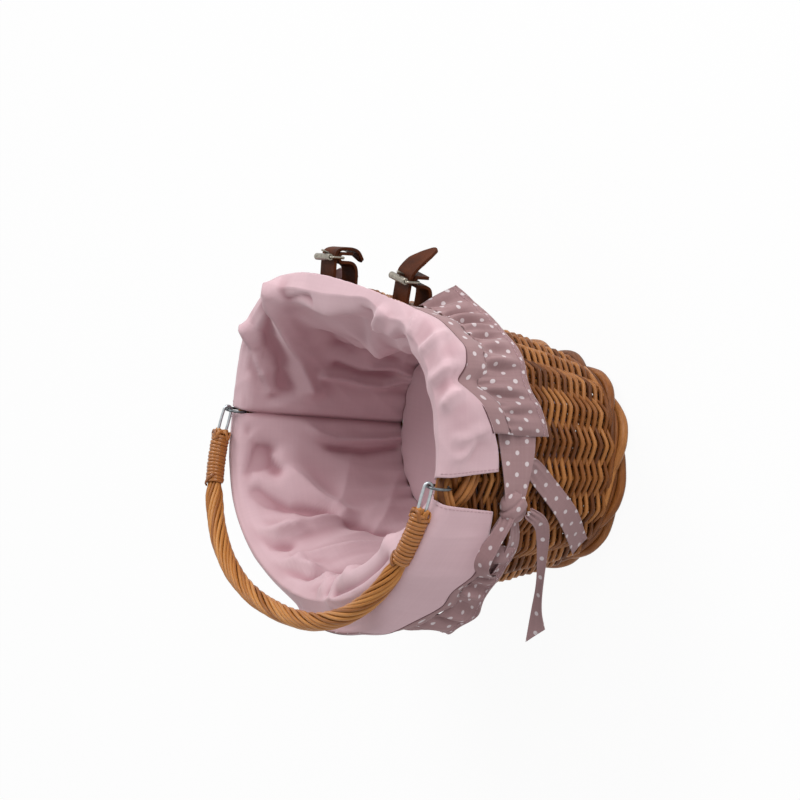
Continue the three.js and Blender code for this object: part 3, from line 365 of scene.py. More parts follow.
def metal_finish(name, colour, roughness, mottle):
    """A bare metal, brighter and duller in patches, which its gloss and its dents follow."""
    dull = [c * (1 - mottle) for c in colour]
    return new_finish(
        name,
        ("spot", "TexCoord", {}),
        ("patches", "TexNoise", {"Vector": "spot.Object", "Scale": 420.0, "Detail": 5.0, "Roughness": 0.65}),
        ("ramp", "ValToRGB", {0: "patches"}, {"stops": [(0.32, dull), (0.68, colour)]}),
        ("rub", "MapRange", {0: "patches", "To Min": roughness + 0.15, "To Max": roughness - 0.05}),
        ("dent", "Bump", {"Strength": 0.12, "Distance": 0.0003, "Height": "patches"}),
        (shader, "", {"Base Color": "ramp", "Roughness": "rub", "Normal": "dent", "Metallic": 1}),
    )


dark_wire = metal_finish("dark_steel_wire", (0.17, 0.18, 0.19), 0.38, 0.5)
right_and_left = (("right", 1), ("left", -1))
ring_x, ring_radius = 154, 7.8
for side, mirror in right_and_left:
    bend = np.radians(np.linspace(-88, 268, 48))
    lap = np.linspace(-0.25, 0.25, 48)
    route = stacked(mirror * ring_x + ring_radius * np.cos(bend), lap, rim_top + ring_radius * np.sin(bend))
    wire = rod(route, thickness=2, sides=10, beside=(0, 1, 0))
    ring = joined(f"{side}_handle_ring", [wire], dark_wire)
    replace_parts(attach(ring, f"{side}_ring"), f"{side}_ring")

# Handle: a dozen thin willow rods twisted together into an arch. It lies forward over the mouth, and
# its two ends are squeezed together round the legs of the wire eyes that hang on the rings.

handle_tilt = math.radians(-10)
hinge_height = rim_top + ring_radius
bail_reach, bail_fullness, bail_start = 122, 2.3, 18
bail_turns = np.linspace(0, np.pi, 4001)
bail_line = stacked(
    np.sign(np.cos(bail_turns)) * np.abs(np.cos(bail_turns)) ** (2 / bail_fullness) * ring_x,
    -(np.sin(bail_turns) ** (2 / bail_fullness)) * bail_reach,
)
bail_line = bail_line[bail_line[:, 1] < -bail_start]
bail_runs = runs_along(bail_line)
bail_length = bail_runs[-1]


def on_handle(points):
    """Places drawn flat about the hinge axis, tilted to where the handle lies."""
    x, y, z = np.moveaxis(np.asarray(points, float), -1, 0)
    cos, sin = math.cos(handle_tilt), math.sin(handle_tilt)
    return stacked(x, y * cos - z * sin, hinge_height + y * sin + z * cos)


def bail_frame(run):
    """Middle of the handle and its two directions across, at a run from its right end."""
    def spot(at):
        return stacked(*(np.interp(at, bail_runs, bail_line[:, k]) for k in (0, 1)), 0)

    inside = np.clip(run, 0, bail_length)
    near = np.clip(inside, 1, bail_length - 1)
    ahead = unit(spot(near + 1) - spot(near - 1))
    middle = spot(inside) + (run - inside)[..., None] * ahead
    return middle, stacked(-ahead[..., 1], ahead[..., 0], 0), np.array([0.0, 0.0, 1.0])


pale_colours = [(0.23, 0.074, 0.014), (0.4, 0.15, 0.032), (0.55, 0.245, 0.066)]
pale_willow = rod_finish("handle_willow", pale_colours, 0.34)
strands, twist_length, bound, loosening = 12, 112, 40, 14
bound_reach, reach_gain, bound_rod, rod_gain = 3.85, 1.5, 2.35, 0.5
bound_core, free_core = 5.2, 7.8
handle_up = on_handle([0, 0, 1]) - on_handle([0, 0, 0])
handle_rods = []
for k in range(strands):
    start = -1.5 - 1.6 * abs(math.sin(2.3 * k))
    end = bail_length + 1.5 + 1.6 * abs(math.sin(1.7 * k + 1))
    runs = np.concatenate([[start], np.arange(2, bail_length - 1, 3.6), [end]])
    near_end = np.minimum(runs, bail_length - runs)
    freed = np.clip((near_end - bound + 3) / loosening, 0, 1)
    freed = freed * freed * (3 - 2 * freed)
    spread = bound_reach + reach_gain * freed + 0.12 * np.sin(runs / 23 + 2.1 * k)
    twist = 2 * np.pi * (runs / twist_length + k / strands) + 0.1 * np.sin(runs / 31 + 1.3 * k)
    middle, aside, over = bail_frame(runs)
    route = middle + spread[:, None] * (np.cos(twist)[:, None] * aside + np.sin(twist)[:, None] * over)
    thickness = (bound_rod + rod_gain * freed) * (1 + 0.06 * math.sin(4.7 * k))
    handle_rods.append(rod(on_handle(route), thickness, number=k, sides=7, beside=handle_up))
runs = np.arange(0, bail_length, 5)
near_end = np.minimum(runs, bail_length - runs)
core = np.interp(near_end, [0, bound, bound + 12], [bound_core, bound_core, free_core])
handle_rods.append(rod(on_handle(bail_frame(runs)[0]), core, number=20, sides=8, beside=(0, 0.17, 0.98)))
handle_twist = joined("handle_twisted_rods", handle_rods, pale_willow)
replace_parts(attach(handle_twist, "handle"), "handle_bail")

# Handle eyes: long loops of zinc-plated wire. Each hangs on its ring, and its two legs are pushed into
# the end of the handle and held there by the cane binding.

zinc = metal_finish("zinc_plated_wire", (0.5, 0.53, 0.55), 0.3, 0.3)
eye_radius, leg_length, leg_seen = 3, 30, 18
for side, mirror in right_and_left:
    eye_x = mirror * bail_line[0, 0]
    bend = np.linspace(-np.pi / 2, np.pi / 2, 17)
    leg = np.linspace(-leg_length, 0, 12)[:-1]
    bow = eye_radius + 0.35 * np.sin(np.pi * leg / -leg_seen) * (leg > -leg_seen)
    route = np.concatenate([
        stacked(eye_x, leg, -bow), stacked(eye_x, eye_radius * np.cos(bend), eye_radius * np.sin(bend)),
        stacked(eye_x, leg, bow)[::-1],
    ])
    wire = rod(on_handle(route), thickness=2.2, sides=10, beside=(1, 0, 0))
    eye = joined(f"{side}_handle_eye", [wire], zinc)
    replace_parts(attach(eye, "handle"), f"{side}_eye")

# Handle bindings: split cane wound tightly round each end of the handle. The first end is lapped three
# times over the tips of the rods, and the last end crosses the turns and is tucked under them.

cane_colours = [(0.17, 0.05, 0.009), (0.315, 0.108, 0.022), (0.46, 0.185, 0.046)]
cane = rod_finish("split_cane", cane_colours, 0.26, bump=0.18, gloss=0.4)
cane_turns, wound_start, wound_length, wound_radius = 13.6, 1.6, 36.6, 6.15
cane_width, end_width = 2.75, 2.6


def wound(runs, turn, reach, thickness, number, mirror):
    """A flat cane round the handle, at runs from its end, turns about it and a reach from its middle."""
    middle, aside, over = bail_frame(runs)
    outward = np.cos(turn)[:, None] * aside + np.sin(turn)[:, None] * over
    flip = np.array([mirror, 1, 1])
    route = flip * on_handle(middle + np.broadcast_to(reach, len(runs))[:, None] * outward)
    beside = flip * (on_handle(outward) - on_handle([0, 0, 0]))
    return rod(route, thickness, number, sides=8, beside=beside, flat=0.55)


for side, mirror in right_and_left:
    share = np.linspace(0, 1, int(cane_turns * 18))
    turn = 2 * np.pi * cane_turns * share
    waver = 0.12 * np.sin(0.66 * turn)
    runs = wound_start + share * wound_length + waver
    winding = [wound(runs, turn, wound_radius + waver, cane_width, 0, mirror)]
    for k, (lift, span) in enumerate(((0.4, 1.9), (2.0, 1.6), (3.6, 1.7))):
        share = np.linspace(0, 1, 22)
        runs = np.interp(share, [0, 0.25, 0.75, 1], [4.5, -0.8, -0.8, 4.5])
        reach = np.interp(share, [0, 0.2, 0.5, 0.8, 1], [6.9, 6.9, 5.2, 6.9, 6.9])
        winding.append(wound(runs, lift + span * share, reach, end_width, 1 + k, mirror))
    share = np.linspace(0, 1, 16)
    reach = np.interp(share, [0, 0.12, 0.88, 1], [6.0, 7.1, 7.1, 6.0])
    winding.append(wound(40.2 - 7.5 * share, 1.1 + 1.5 * share, reach, end_width, 4, mirror))
    binding = joined(f"{side}_cane_binding", winding, cane)
    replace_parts(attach(binding, "handle"), f"{side}_binding")

# Liner: a loose bag of dusty pink cotton, sewn from a front and a back panel and an oval floor. The
# panels go up the inside, roll over the rim in a soft puff and hang outside as a cuff, which parts
# at the handle and stops on top of the rim between the straps.

bag_floor, crest_level, inside_gap, outside_gap = 42, 166, 17, 5.3
bend_level, shoulder_level, crest_height, crest_inset = 148, 161, 166.4, 4.5


def inside_cloth(height):
    return lean_in(height) + inside_gap


def outside_cloth(height):
    return lean_in(height) - outside_gap


def by_turn(turn, table, width=15):
    """A smooth value round the mouth from a table of degrees and values."""
    keys = np.array(sorted(table))
    values = np.array([table[k] for k in keys], float)
    fine = np.arange(-360, 720.5, 0.5)
    line = np.interp(fine, np.concatenate([keys - 360, keys, keys + 360]), np.tile(values, 3))
    window = np.hanning(width)
    line = np.convolve(line, window / window.sum(), mode="same")
    return np.interp(np.degrees(np.mod(turn, 2 * np.pi)), fine, line)


crest_rise = {
    0: -0.5, 6: -1, 14: 0, 30: 2, 60: 2, 71: 3, 84: 0, 92: 2, 120: 2, 150: 2, 180: 0, 192: 1,
    205: 3, 220: 5, 235: 6, 250: 7, 264: 8, 274: 8, 281: 8, 287: 14, 298: 19, 310: 21, 320: 20,
    330: 18, 340: 13, 350: 6,
}
crest_in = {
    0: 0, 14: 4, 30: 4, 45: 4, 56: 2, 62: -1, 65: -2, 70: 7, 74: 8, 79: 4, 84: -3, 87: -3, 91: 6,
    96: 10, 104: 8, 110: 4, 116: 0, 122: -2, 128: -3, 140: -2, 155: 0, 180: 0, 200: -2, 220: -4,
    240: -4.5, 258: -4.5, 270: -3, 280: 2, 287: 9, 300: 12, 321: 12, 335: 9, 347: 5, 356: 0,
}
wall_puff = {
    0: 0, 15: 0, 35: 2, 58: 4, 68: 11, 86: 19, 100: 21, 117: 15, 130: 6, 141: 1, 180: 0, 200: 1,
    230: 4, 270: 6, 310: 7, 335: 2,
}
hem_height = {
    0: 119, 6: 122, 12: 130, 20: 141, 24: 148, 29: 156, 34: 148, 44: 146, 58: 154, 68: 160, 76: 164,
    104: 164, 112: 160, 122: 152, 140: 146, 160: 136, 172: 121, 180: 119, 190: 119, 205: 119,
    220: 119, 235: 122, 248: 136, 258: 156, 268: 169, 285: 172, 300: 171, 306: 168, 311: 158,
    315: 145, 318: 135, 325: 136, 331: 124, 345: 119,
}
hem_out = {
    0: 1, 6: 2, 12: 6, 19: 8, 25: 3, 29: -1, 34: 5, 40: 9, 46: 6, 56: 5, 66: 0, 76: -7, 92: -6,
    104: -4, 114: 0, 122: 4, 130: 7, 140: 3, 152: 6, 165: 3, 180: 1, 190: 1, 205: 0, 225: -2,
    245: -2, 256: 1, 268: 7, 285: 9, 298: 11, 308: 18, 316: 15, 322: 12, 332: 11, 340: 7, 348: 3,
}


def liner_section(turn):
    """Section of the cloth at each turn, as insets and heights from the floor's seam to the hem."""
    rise, roll, puff, hem, out = (
        by_turn(turn, table) for table in (crest_rise, crest_in, wall_puff, hem_height, hem_out)
    )
    puffed = ((bag_floor, 0.1), (60, 0.15), (90, 0.5), (125, 0.87))
    shoulder = shoulder_level + 0.75 * rise
    outer = np.maximum(shoulder, hem)
    cuff_middle = (hem + outer) / 2
    return np.array([(inside_cloth(z) + share * puff, z + 0 * turn) for z, share in puffed] + [
        (inside_cloth(bend_level) - 1 + 0.08 * puff + 0.2 * roll, bend_level + 0.25 * rise),
        (inside_cloth(shoulder_level) - 2.7 + roll, shoulder),
        (crest_inset + 0.45 * roll, crest_height + rise),
        (outside_cloth(shoulder_level) - 0.35 * out, outer),
        (outside_cloth(cuff_middle) - 0.75 * out, cuff_middle),
        (outside_cloth(hem) - out, hem),
    ])


def smooth_line(points, count):
    """A smooth line through control points, evenly spaced along its length, and that length."""
    ends = np.concatenate([[2 * points[0] - points[1]], points, [2 * points[-1] - points[-2]]])
    share = np.linspace(0, 1, 13)[:-1, None]
    fine = []
    for a, b, c, d in zip(ends, ends[1:], ends[2:], ends[3:]):
        bent, eased = 2 * a - 5 * b + 4 * c - d, 3 * b - a - 3 * c + d
        fine.append(0.5 * (2 * b + (c - a) * share + bent * share**2 + eased * share**3))
    fine = np.concatenate(fine + [points[-1:]])
    run = runs_along(fine)
    even = np.linspace(0, run[-1], count)
    return stacked(*(np.interp(even, run, line) for line in fine.T)), run[-1]


# Folds of the slack cloth as lines of run and level, with their depth into the bag and their width.
# Levels follow the cloth up from the floor, are 166 on top of the rim, and go on down the cuff.
folds = [
    ([(110, 166), (122, 159), (146, 141), (168, 126), (190, 116), (200, 112)], 11, 9),
    ([(136, 160), (158, 148), (178, 137), (200, 130)], -9, 9),
    ([(162, 166), (174, 160), (192, 148), (208, 140)], 8, 6),
    ([(176, 158), (196, 149), (212, 138)], -8, 8),
    ([(184, 104), (185, 88), (188, 74), (186, 60), (176, 49), (172, 40)], 6, 4.5),
    ([(172, 96), (177, 78), (173, 60)], -4, 5),
    ([(166, 72), (160, 56), (164, 42)], 5, 4.5),
    ([(150, 100), (148, 80), (152, 60)], -3, 9),
    ([(234, 160), (248, 152), (262, 140), (278, 132)], -10, 10),
    ([(229, 118), (245, 102), (251, 90), (250, 72), (248, 54), (244, 40)], 8, 5.5),
    ([(262, 140), (274, 150), (286, 160)], -10, 8),
    ([(250, 150), (268, 132), (292, 119), (318, 108), (338, 96)], 9, 9),
    ([(258, 92), (262, 70), (258, 48)], -4, 7),
    ([(300, 150), (318, 132), (333, 108), (356, 90), (368, 78)], -9, 9),
    ([(346, 138), (350, 122), (344, 104)], 8, 8),
    ([(330, 162), (338, 156), (350, 146), (354, 134)], 8, 5.5),
    ([(350, 162), (361, 155), (368, 146)], -7, 5.5),
    ([(376, 162), (386, 157), (402, 150), (420, 144)], 9, 5.5),
    ([(404, 162), (414, 157), (430, 150)], -7, 6),
    ([(428, 162), (438, 156), (452, 148)], 8, 6),
    ([(398, 146), (403, 130), (410, 109), (420, 84)], 8, 9),
    ([(430, 146), (440, 120), (452, 92)], -8, 10),
    ([(470, 150), (478, 130), (470, 104), (480, 78)], 7, 10),
    ([(481, 150), (480, 160), (479, 168), (478, 178)], -6, 6),
    ([(506, 164), (525, 163), (545, 163), (580, 164), (597, 165)], -5, 5),
    ([(520, 140), (545, 120), (575, 100)], 8, 11),
    ([(600, 150), (612, 128), (606, 104)], 6, 10),
    ([(678, 182), (681, 188), (688, 193)], 2.5, 4),
    ([(692, 183), (694, 190), (700, 206)], 3.5, 5),
    ([(718, 176), (722, 182), (728, 192), (726, 206)], 5.5, 5.5),
    ([(738, 170), (741, 182), (744, 196)], 5, 5),
    ([(764, 170), (764, 180), (770, 192)], 5, 5),
    ([(786, 168), (794, 178)], 4, 5),
    ([(830, 164), (836, 157), (841, 149)], 6, 6),
    ([(868, 166), (862, 158), (852, 150), (845, 146)], -6, 5),
    ([(60, 160), (75, 163), (98, 160)], -3, 5),
    ([(20, 112), (50, 104), (84, 98), (112, 100)], 8, 10),
    ([(40, 66), (80, 62), (120, 70)], -4, 11),
    ([(130, 116), (146, 104), (156, 90)], -4, 9),
]


def fold_depth(run, level):
    """Depth of the folds at places on the cloth, with crumples in patches and puckers at the seams."""
    s, v = np.broadcast_arrays(run, level)
    depth = np.zeros(s.shape)
    for line, height, width in folds:
        near = np.full(s.shape, 1e9)
        for start, end in zip(line, line[1:]):
            ds, dv = end[0] - start[0], end[1] - start[1]
            for lap in (0, mouth_round):
                from_s, from_v = s - lap - start[0], v - start[1]
                along = np.clip((from_s * ds + from_v * dv) / (ds * ds + dv * dv), 0, 1)
                near = np.minimum(near, np.hypot(from_s - along * ds, from_v - along * dv))
        depth += height * (0.5 * np.exp(-((near / width) ** 2)) + 0.5 * np.exp(-1.7 * near / width))
    # The crest lies calm from the back over the left end to the middle of the front.
    depth *= 1 - np.clip((s - 95) / 15, 0, 1) * np.clip((470 - s) / 15, 0, 1) * np.clip((v - 145) / 14, 0, 1)
    for lean, length, shift, height in ((0.5, 9.5, 0.3, 1.0), (-0.7, 12.5, 1.9, 1.5), (1.4, 15.5, 4.0, 1.5)):
        across, along = s * math.cos(lean) + v * math.sin(lean), v * math.cos(lean) - s * math.sin(lean)
        wave = np.sin(across / length + 1.7 * np.sin(along / 33 + shift) + 0.8 * np.sin(across / 41))
        patch = np.clip(np.sin(s / 47 + 2 * shift) * np.sin(v / 29 + shift) + 0.35, 0, 1)
        depth += height * (1 - 1.6 * np.abs(wave) ** 0.8) * patch * (1 - 0.5 * (v > 150))
    seam = np.min([np.abs(s - x) for x in (left_seam, right_seam, left_seam + mouth_round)], axis=0)
    depth += 0.9 * np.sin(v / 4.3 + 1.5 * np.sin(v / 11) + s / 14) * np.exp(-seam / 9) * (v < 160)
    depth += 1.3 * np.sin(s / 3.7 + 1.6 * np.sin(s / 17)) * np.exp(-(v - 40) / 9) * (v < 120)
    return depth


weave = node_group("cloth_weave", {"Lay": "Vector", "Thread": "Float"}, {"Slub": "Float", "Height": "Float"})
grow(
    weave,
    ("in", "NodeGroupInput", {}),
    ("threads", "VectorMath SCALE", {0: "in.Lay", "Scale": "in.Thread"}),
    ("split", "SeparateXYZ", {0: "threads"}),
    ("warp", "Math SINE", {0: "split.X"}),
    ("weft", "Math SINE", {0: "split.Y"}),
    ("crossing", "Math MULTIPLY", {0: "warp", 1: "weft"}),
    ("warp_map", "Mapping", {"Vector": "in.Lay", "Scale": (520, 16, 1)}),
    ("weft_map", "Mapping", {"Vector": "in.Lay", "Scale": (16, 520, 1)}),
    ("warp_slub", "TexNoise", {"Vector": "warp_map", "Scale": 1.0, "Detail": 3.0}),
    ("weft_slub", "TexNoise", {"Vector": "weft_map", "Scale": 1.0, "Detail": 3.0}),
    ("slub", "Math ADD", {0: "warp_slub", 1: "weft_slub"}),
    ("half", "Math MULTIPLY", {0: "slub", 1: 0.5}),
    ("raised", "Math MULTIPLY_ADD", {0: "crossing", 1: 0.06, 2: "half"}),
    ("out", "NodeGroupOutput", {"Slub": "half", "Height": "raised"}),
)


def cloth_finish(name, colours, bump):
    """Woven cotton with fine threads, a little uneven in colour, and a soft sheen."""
    return new_finish(
        name,
        ("lay", "UVMap", {}, {"uv_map": "lay"}),
        ("threads", "Group", {"Lay": "lay", "Thread": 9000.0}, {"node_tree": weave}),
        ("ramp", "ValToRGB", {0: "threads.Slub"}, {"stops": list(zip((0.34, 0.66), colours))}),
        ("dent", "Bump", {"Strength": bump, "Distance": 0.0003, "Height": "threads.Height"}),
        (shader, "", {"Base Color": "ramp", "Normal": "dent", "Roughness": 0.85}),
        (shader, "", {"Specular IOR Level": 0.25, "Sheen Weight": 0.18, "Sheen Roughness": 0.4}),
    )


pink_cotton = cloth_finish("dusty_pink_cotton", [(0.6, 0.41, 0.445), (0.625, 0.432, 0.467)], 0.05)
# Painted shade: the pink is mixed towards a darker, deeper pink by a mark on each vertex, which is highest
# where the cloth lies deep in a fold.
crease_shade_colour = (0.42, 0.225, 0.255, 1)
grow(
    pink_cotton.node_tree,
    ("hollows", "Attribute", {}, {"attribute_name": "hollow"}),
    ("richer", "Mix", {"Factor": "hollows.Fac", "A": "ramp", "B": crease_shade_colour}, {"data_type": "RGBA"}),
    (shader, "", {"Base Color": "richer.Result"}),
)
thread = cloth_finish("pink_thread", [(0.42, 0.26, 0.285), (0.5, 0.32, 0.35)], 0.1)


def thick_sheet(name, places, lay, thickness, finish, hollow=None, merge=False):
    """A sheet over rows of places, with its thickness, and painted shade where its marks say it lies deep in
    a fold.
    """
    piece = rolled_grid(name, places, lay * mm, merge)
    if hollow is not None:
        marks = piece.data.attributes.new("hollow", "FLOAT", "POINT")
        marks.data.foreach_set("value", hollow.ravel().astype(np.float32))
    solid = piece.modifiers.new("thickness", "SOLIDIFY")
    solid.thickness, solid.offset = thickness * mm, 0
    bpy.ops.object.modifier_apply(modifier=solid.name)
    bpy.ops.object.shade_smooth()
    piece.data.materials.append(finish)
    return piece


def stitches(name, line, stitch=2.1, gap=1.3):
    """A row of sewn stitches along a line of places."""
    run = runs_along(line)
    sewn = []
    for k, start in enumerate(np.arange(gap, run[-1] - stitch, stitch + gap)):
        steps = start + stitch * np.linspace(0, 1, 3)
        route = stacked(*(np.interp(steps, run, part) for part in line.T))
        sewn.append(rod(route, thickness=0.5, number=k, sides=5, beside=(0.3, 0.2, 0.93)))
    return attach(joined(name, sewn, thread), "basket")


def straight_off(places):
    """Directions straight off a sheet of places."""
    return unit(np.cross(np.gradient(places, axis=1), np.gradient(places, axis=0)))


inner_rows, cuff_rows = 82, 34
panel_length, cotton_thickness = 190, 0.9
# The last of these is how deep in a fold the cloth's painted shade reaches its darkest.
slit_spread, seam_depth, seam_width, rod_room, full_shade_depth = 24, 7.5, 5, 10, 2.6
strap_notch = slice(92, 157)  # columns of the back panel between the straps


def liner_panel(side, runs, slits):
    """A panel over the given runs, with the widths of the slits at its two ends on the rim, and the
    lines that its stitches follow."""
    controls = liner_section(turn_at(runs))
    rows = inner_rows + cuff_rows
    lines = np.zeros((rows, len(runs), 2))
    level = np.zeros((rows, len(runs)))
    level[:inner_rows] = np.linspace(bag_floor, crest_level, inner_rows, endpoint=False)[:, None]
    for k in range(len(runs)):
        inner, _ = smooth_line(controls[:7, :, k], inner_rows + 1)
        cuff, cuff_length = smooth_line(controls[6:, :, k], cuff_rows)
        lines[:, k] = np.concatenate([inner[:-1], cuff])
        level[inner_rows:, k] = crest_level + np.linspace(0, cuff_length, cuff_rows)
    from_first, from_last = runs - runs[0], runs[-1] - runs
    ends = np.minimum(from_first, from_last)[None]
    opened = np.interp(np.arange(rows), [inner_rows - 14, inner_rows, rows - 1], [0, 1, 1.8])[:, None]
    first, last = (opened * slit for slit in slits)
    shifted = runs + first * np.exp(-from_first / slit_spread) - last * np.exp(-from_last / slit_spread)
    places = plan_spot(turn_at(shifted), lines[..., 0], lines[..., 1])
    facing = straight_off(places)
    if np.sum((facing * places)[inner_rows // 2, :, :2]) > 0:
        facing = -facing
    crease = -seam_depth * np.exp(-ends / seam_width) * np.clip((crest_level - level) / 22, 0, 1)
    seam = 1 - np.exp(-((ends / 10) ** 2))
    sewn = np.where(level > crest_level, np.clip((level[-1:] - level) / 14, 0, 1), 1)
    depth = fold_depth(runs[None], level) * seam * sewn + crease
    room = lines[..., 0] - lean_in(lines[..., 1]) - rod_room
    depth = np.maximum(depth, -np.clip(room, 0.2, 7))
    places = places + depth[..., None] * facing
    # Painted shade marks: how far each place lies below its smoothed neighbours, full at the given depth,
    # darken the cloth's colour in its folds.
    around = depth
    for _ in range(40):
        wide = np.pad(around, 1, mode="edge")
        around = (wide[:-2, 1:-1] + wide[2:, 1:-1] + wide[1:-1, :-2] + wide[1:-1, 2:]) / 4
    hollow = np.clip((around - depth) / full_shade_depth, 0, 1)
    lay = stacked(runs[None], level)
    panel = thick_sheet(f"liner_{side}_cloth", places, lay, cotton_thickness, pink_cotton, hollow)
    raised = places + 0.6 * facing
    return panel, [raised[inner_rows + 2 :, 2], raised[inner_rows + 2 :, -3], raised[-6, strap_notch]]


lap = 0.25
front_runs = np.linspace(left_seam - lap, right_seam + lap, 240)
back_runs = np.linspace(right_seam - lap, mouth_round + left_seam + lap, 250)
front_panel, front_edges = liner_panel("front", front_runs, (2.5, 9))
back_panel, back_edges = liner_panel("back", back_runs, (7, 2.5))
panels = (("front", front_panel, front_edges[:2], 420), ("back", back_panel, back_edges, 440))
for side, panel, edges, panel_width in panels:
    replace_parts(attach(panel, "basket"), f"liner_{side}_panel")
    sewn = [stitches(f"liner_{side}_panel_stitches_{k + 1}", edge) for k, edge in enumerate(edges)]

floor_runs = np.linspace(0, mouth_round, 193)
floor_turns = turn_at(floor_runs)
floor_turns[-1] = floor_turns[0]
rings = np.linspace(0, 1, 30)[:, None]
floor_edge = plan_spot(floor_turns, liner_section(floor_turns)[0, 0] - 1.5, bag_floor)
floor_places = rings[..., None] * floor_edge * np.array([1, 1, 0])
dome = bag_floor + 5 * np.sin(np.pi * rings**4) - 2.5 * rings**30
gather = 0.9 * np.sin(floor_runs / 4.1 + np.sin(floor_runs / 19))
gather[-1] = gather[0]
x, y = floor_places[..., 0], floor_places[..., 1]
soft = 1.1 * np.sin(x / 19 + 0.8 * np.sin(y / 25)) * np.sin(y / 27 + 1) + 0.7 * np.sin((x + y) / 11)
floor_places[..., 2] = dome + gather * rings**10 + soft * (1 - rings**6)
floor_lay = floor_places[..., :2]
floor_cloth = thick_sheet(
    "liner_floor_cloth", floor_places, floor_lay, cotton_thickness, pink_cotton, merge=True)
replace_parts(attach(floor_cloth, "basket"), "liner_floor")

# Bands and ruffles: dusty mauve cotton printed with small white dots. A band is sewn under the cuff
# with a piped seam, its thin cord painted dark as the shadow under the cuff's hem, and a ruffle,
# gathered to the band's lower edge, flares out below it.

dotted = cloth_finish("dotted_mauve_cotton", [(0.305, 0.187, 0.191), (0.34, 0.212, 0.217)], 0.12)
dot_colour, dots_per_metre = (0.62, 0.54, 0.555, 1), 67
for k, shift in enumerate((0.0, 0.5)):
    grow(
        dotted.node_tree,
        (f"grid_{k}", "Mapping", {0: "lay", 1: (shift, shift, 0), 3: (dots_per_metre, dots_per_metre, 1)}),
        (f"cell_{k}", "VectorMath FRACTION", {0: f"grid_{k}"}),
        (f"centred_{k}", "VectorMath SUBTRACT", {0: f"cell_{k}", 1: (0.5, 0.5, 0)}),
        (f"away_{k}", "VectorMath LENGTH", {0: f"centred_{k}"}),
    )
grow(
    dotted.node_tree,
    ("closest", "Math MINIMUM", {0: "away_0.Value", 1: "away_1.Value"}),
    ("dot", "MapRange", {0: "closest", "From Min": 0.118, "From Max": 0.094}),
    ("print", "Mix", {"Factor": "dot", "A": "ramp", "B": dot_colour}, {"data_type": "RGBA"}),
    (shader, "", {"Base Color": "print.Result"}),
)

band_height, band_sewn, ruffle_height, ruffle_sewn, band_end = 18, 1.5, 31, 1.2, 40
ruffle_fullness, band_thickness, ruffle_thickness = 1.3, 0.8, 0.7
gather_depth, pleat_depth, tuck_depth, corner_lift, strap_lift = 0.7, 2.6, 0.9, 8, 8
notch_half, corner_turn = 67, np.radians(305.5)
ruffle_flare = {
    0: 5, 30: 7, 60: 8, 74: 12, 100: 6, 180: 6, 240: 3, 258: -4, 296: -7, 302: 0, 309: 17, 318: 16,
    333: 8, 345: 6,
}
hung_down = {0: 1, 230: 1, 255: 0.9, 300: 1, 308: 0.9, 314: 0.65, 320: 0.5, 327: 0.45, 348: 0.45, 352: 1}
tuck_in = {0: 95, 230: 95, 255: 45, 297: 45, 305: 80, 315: 95}


def skirt(run, drop, out, free=0.0):
    """A place below the cuff's hem, by its drop and its way out from it. A free edge runs straighter."""
    turn = turn_at(run)
    hem, bulge = (
        (1 - free) * by_turn(turn, table) + free * by_turn(turn, table, 101)
        for table in (hem_height, hem_out)
    )
    level = hem - drop * by_turn(turn, hung_down)
    kept = np.clip(1 - drop / by_turn(turn, tuck_in), 0.2, 1)
    return plan_spot(turn, outside_cloth(level) - bulge * kept - out, level)


def slow_wave(run, length, start=0.0):
    s = run / length * 2 * np.pi
    return np.sin(s + start + 0.9 * np.sin(0.37 * s + start) + 0.5 * np.sin(0.21 * s))
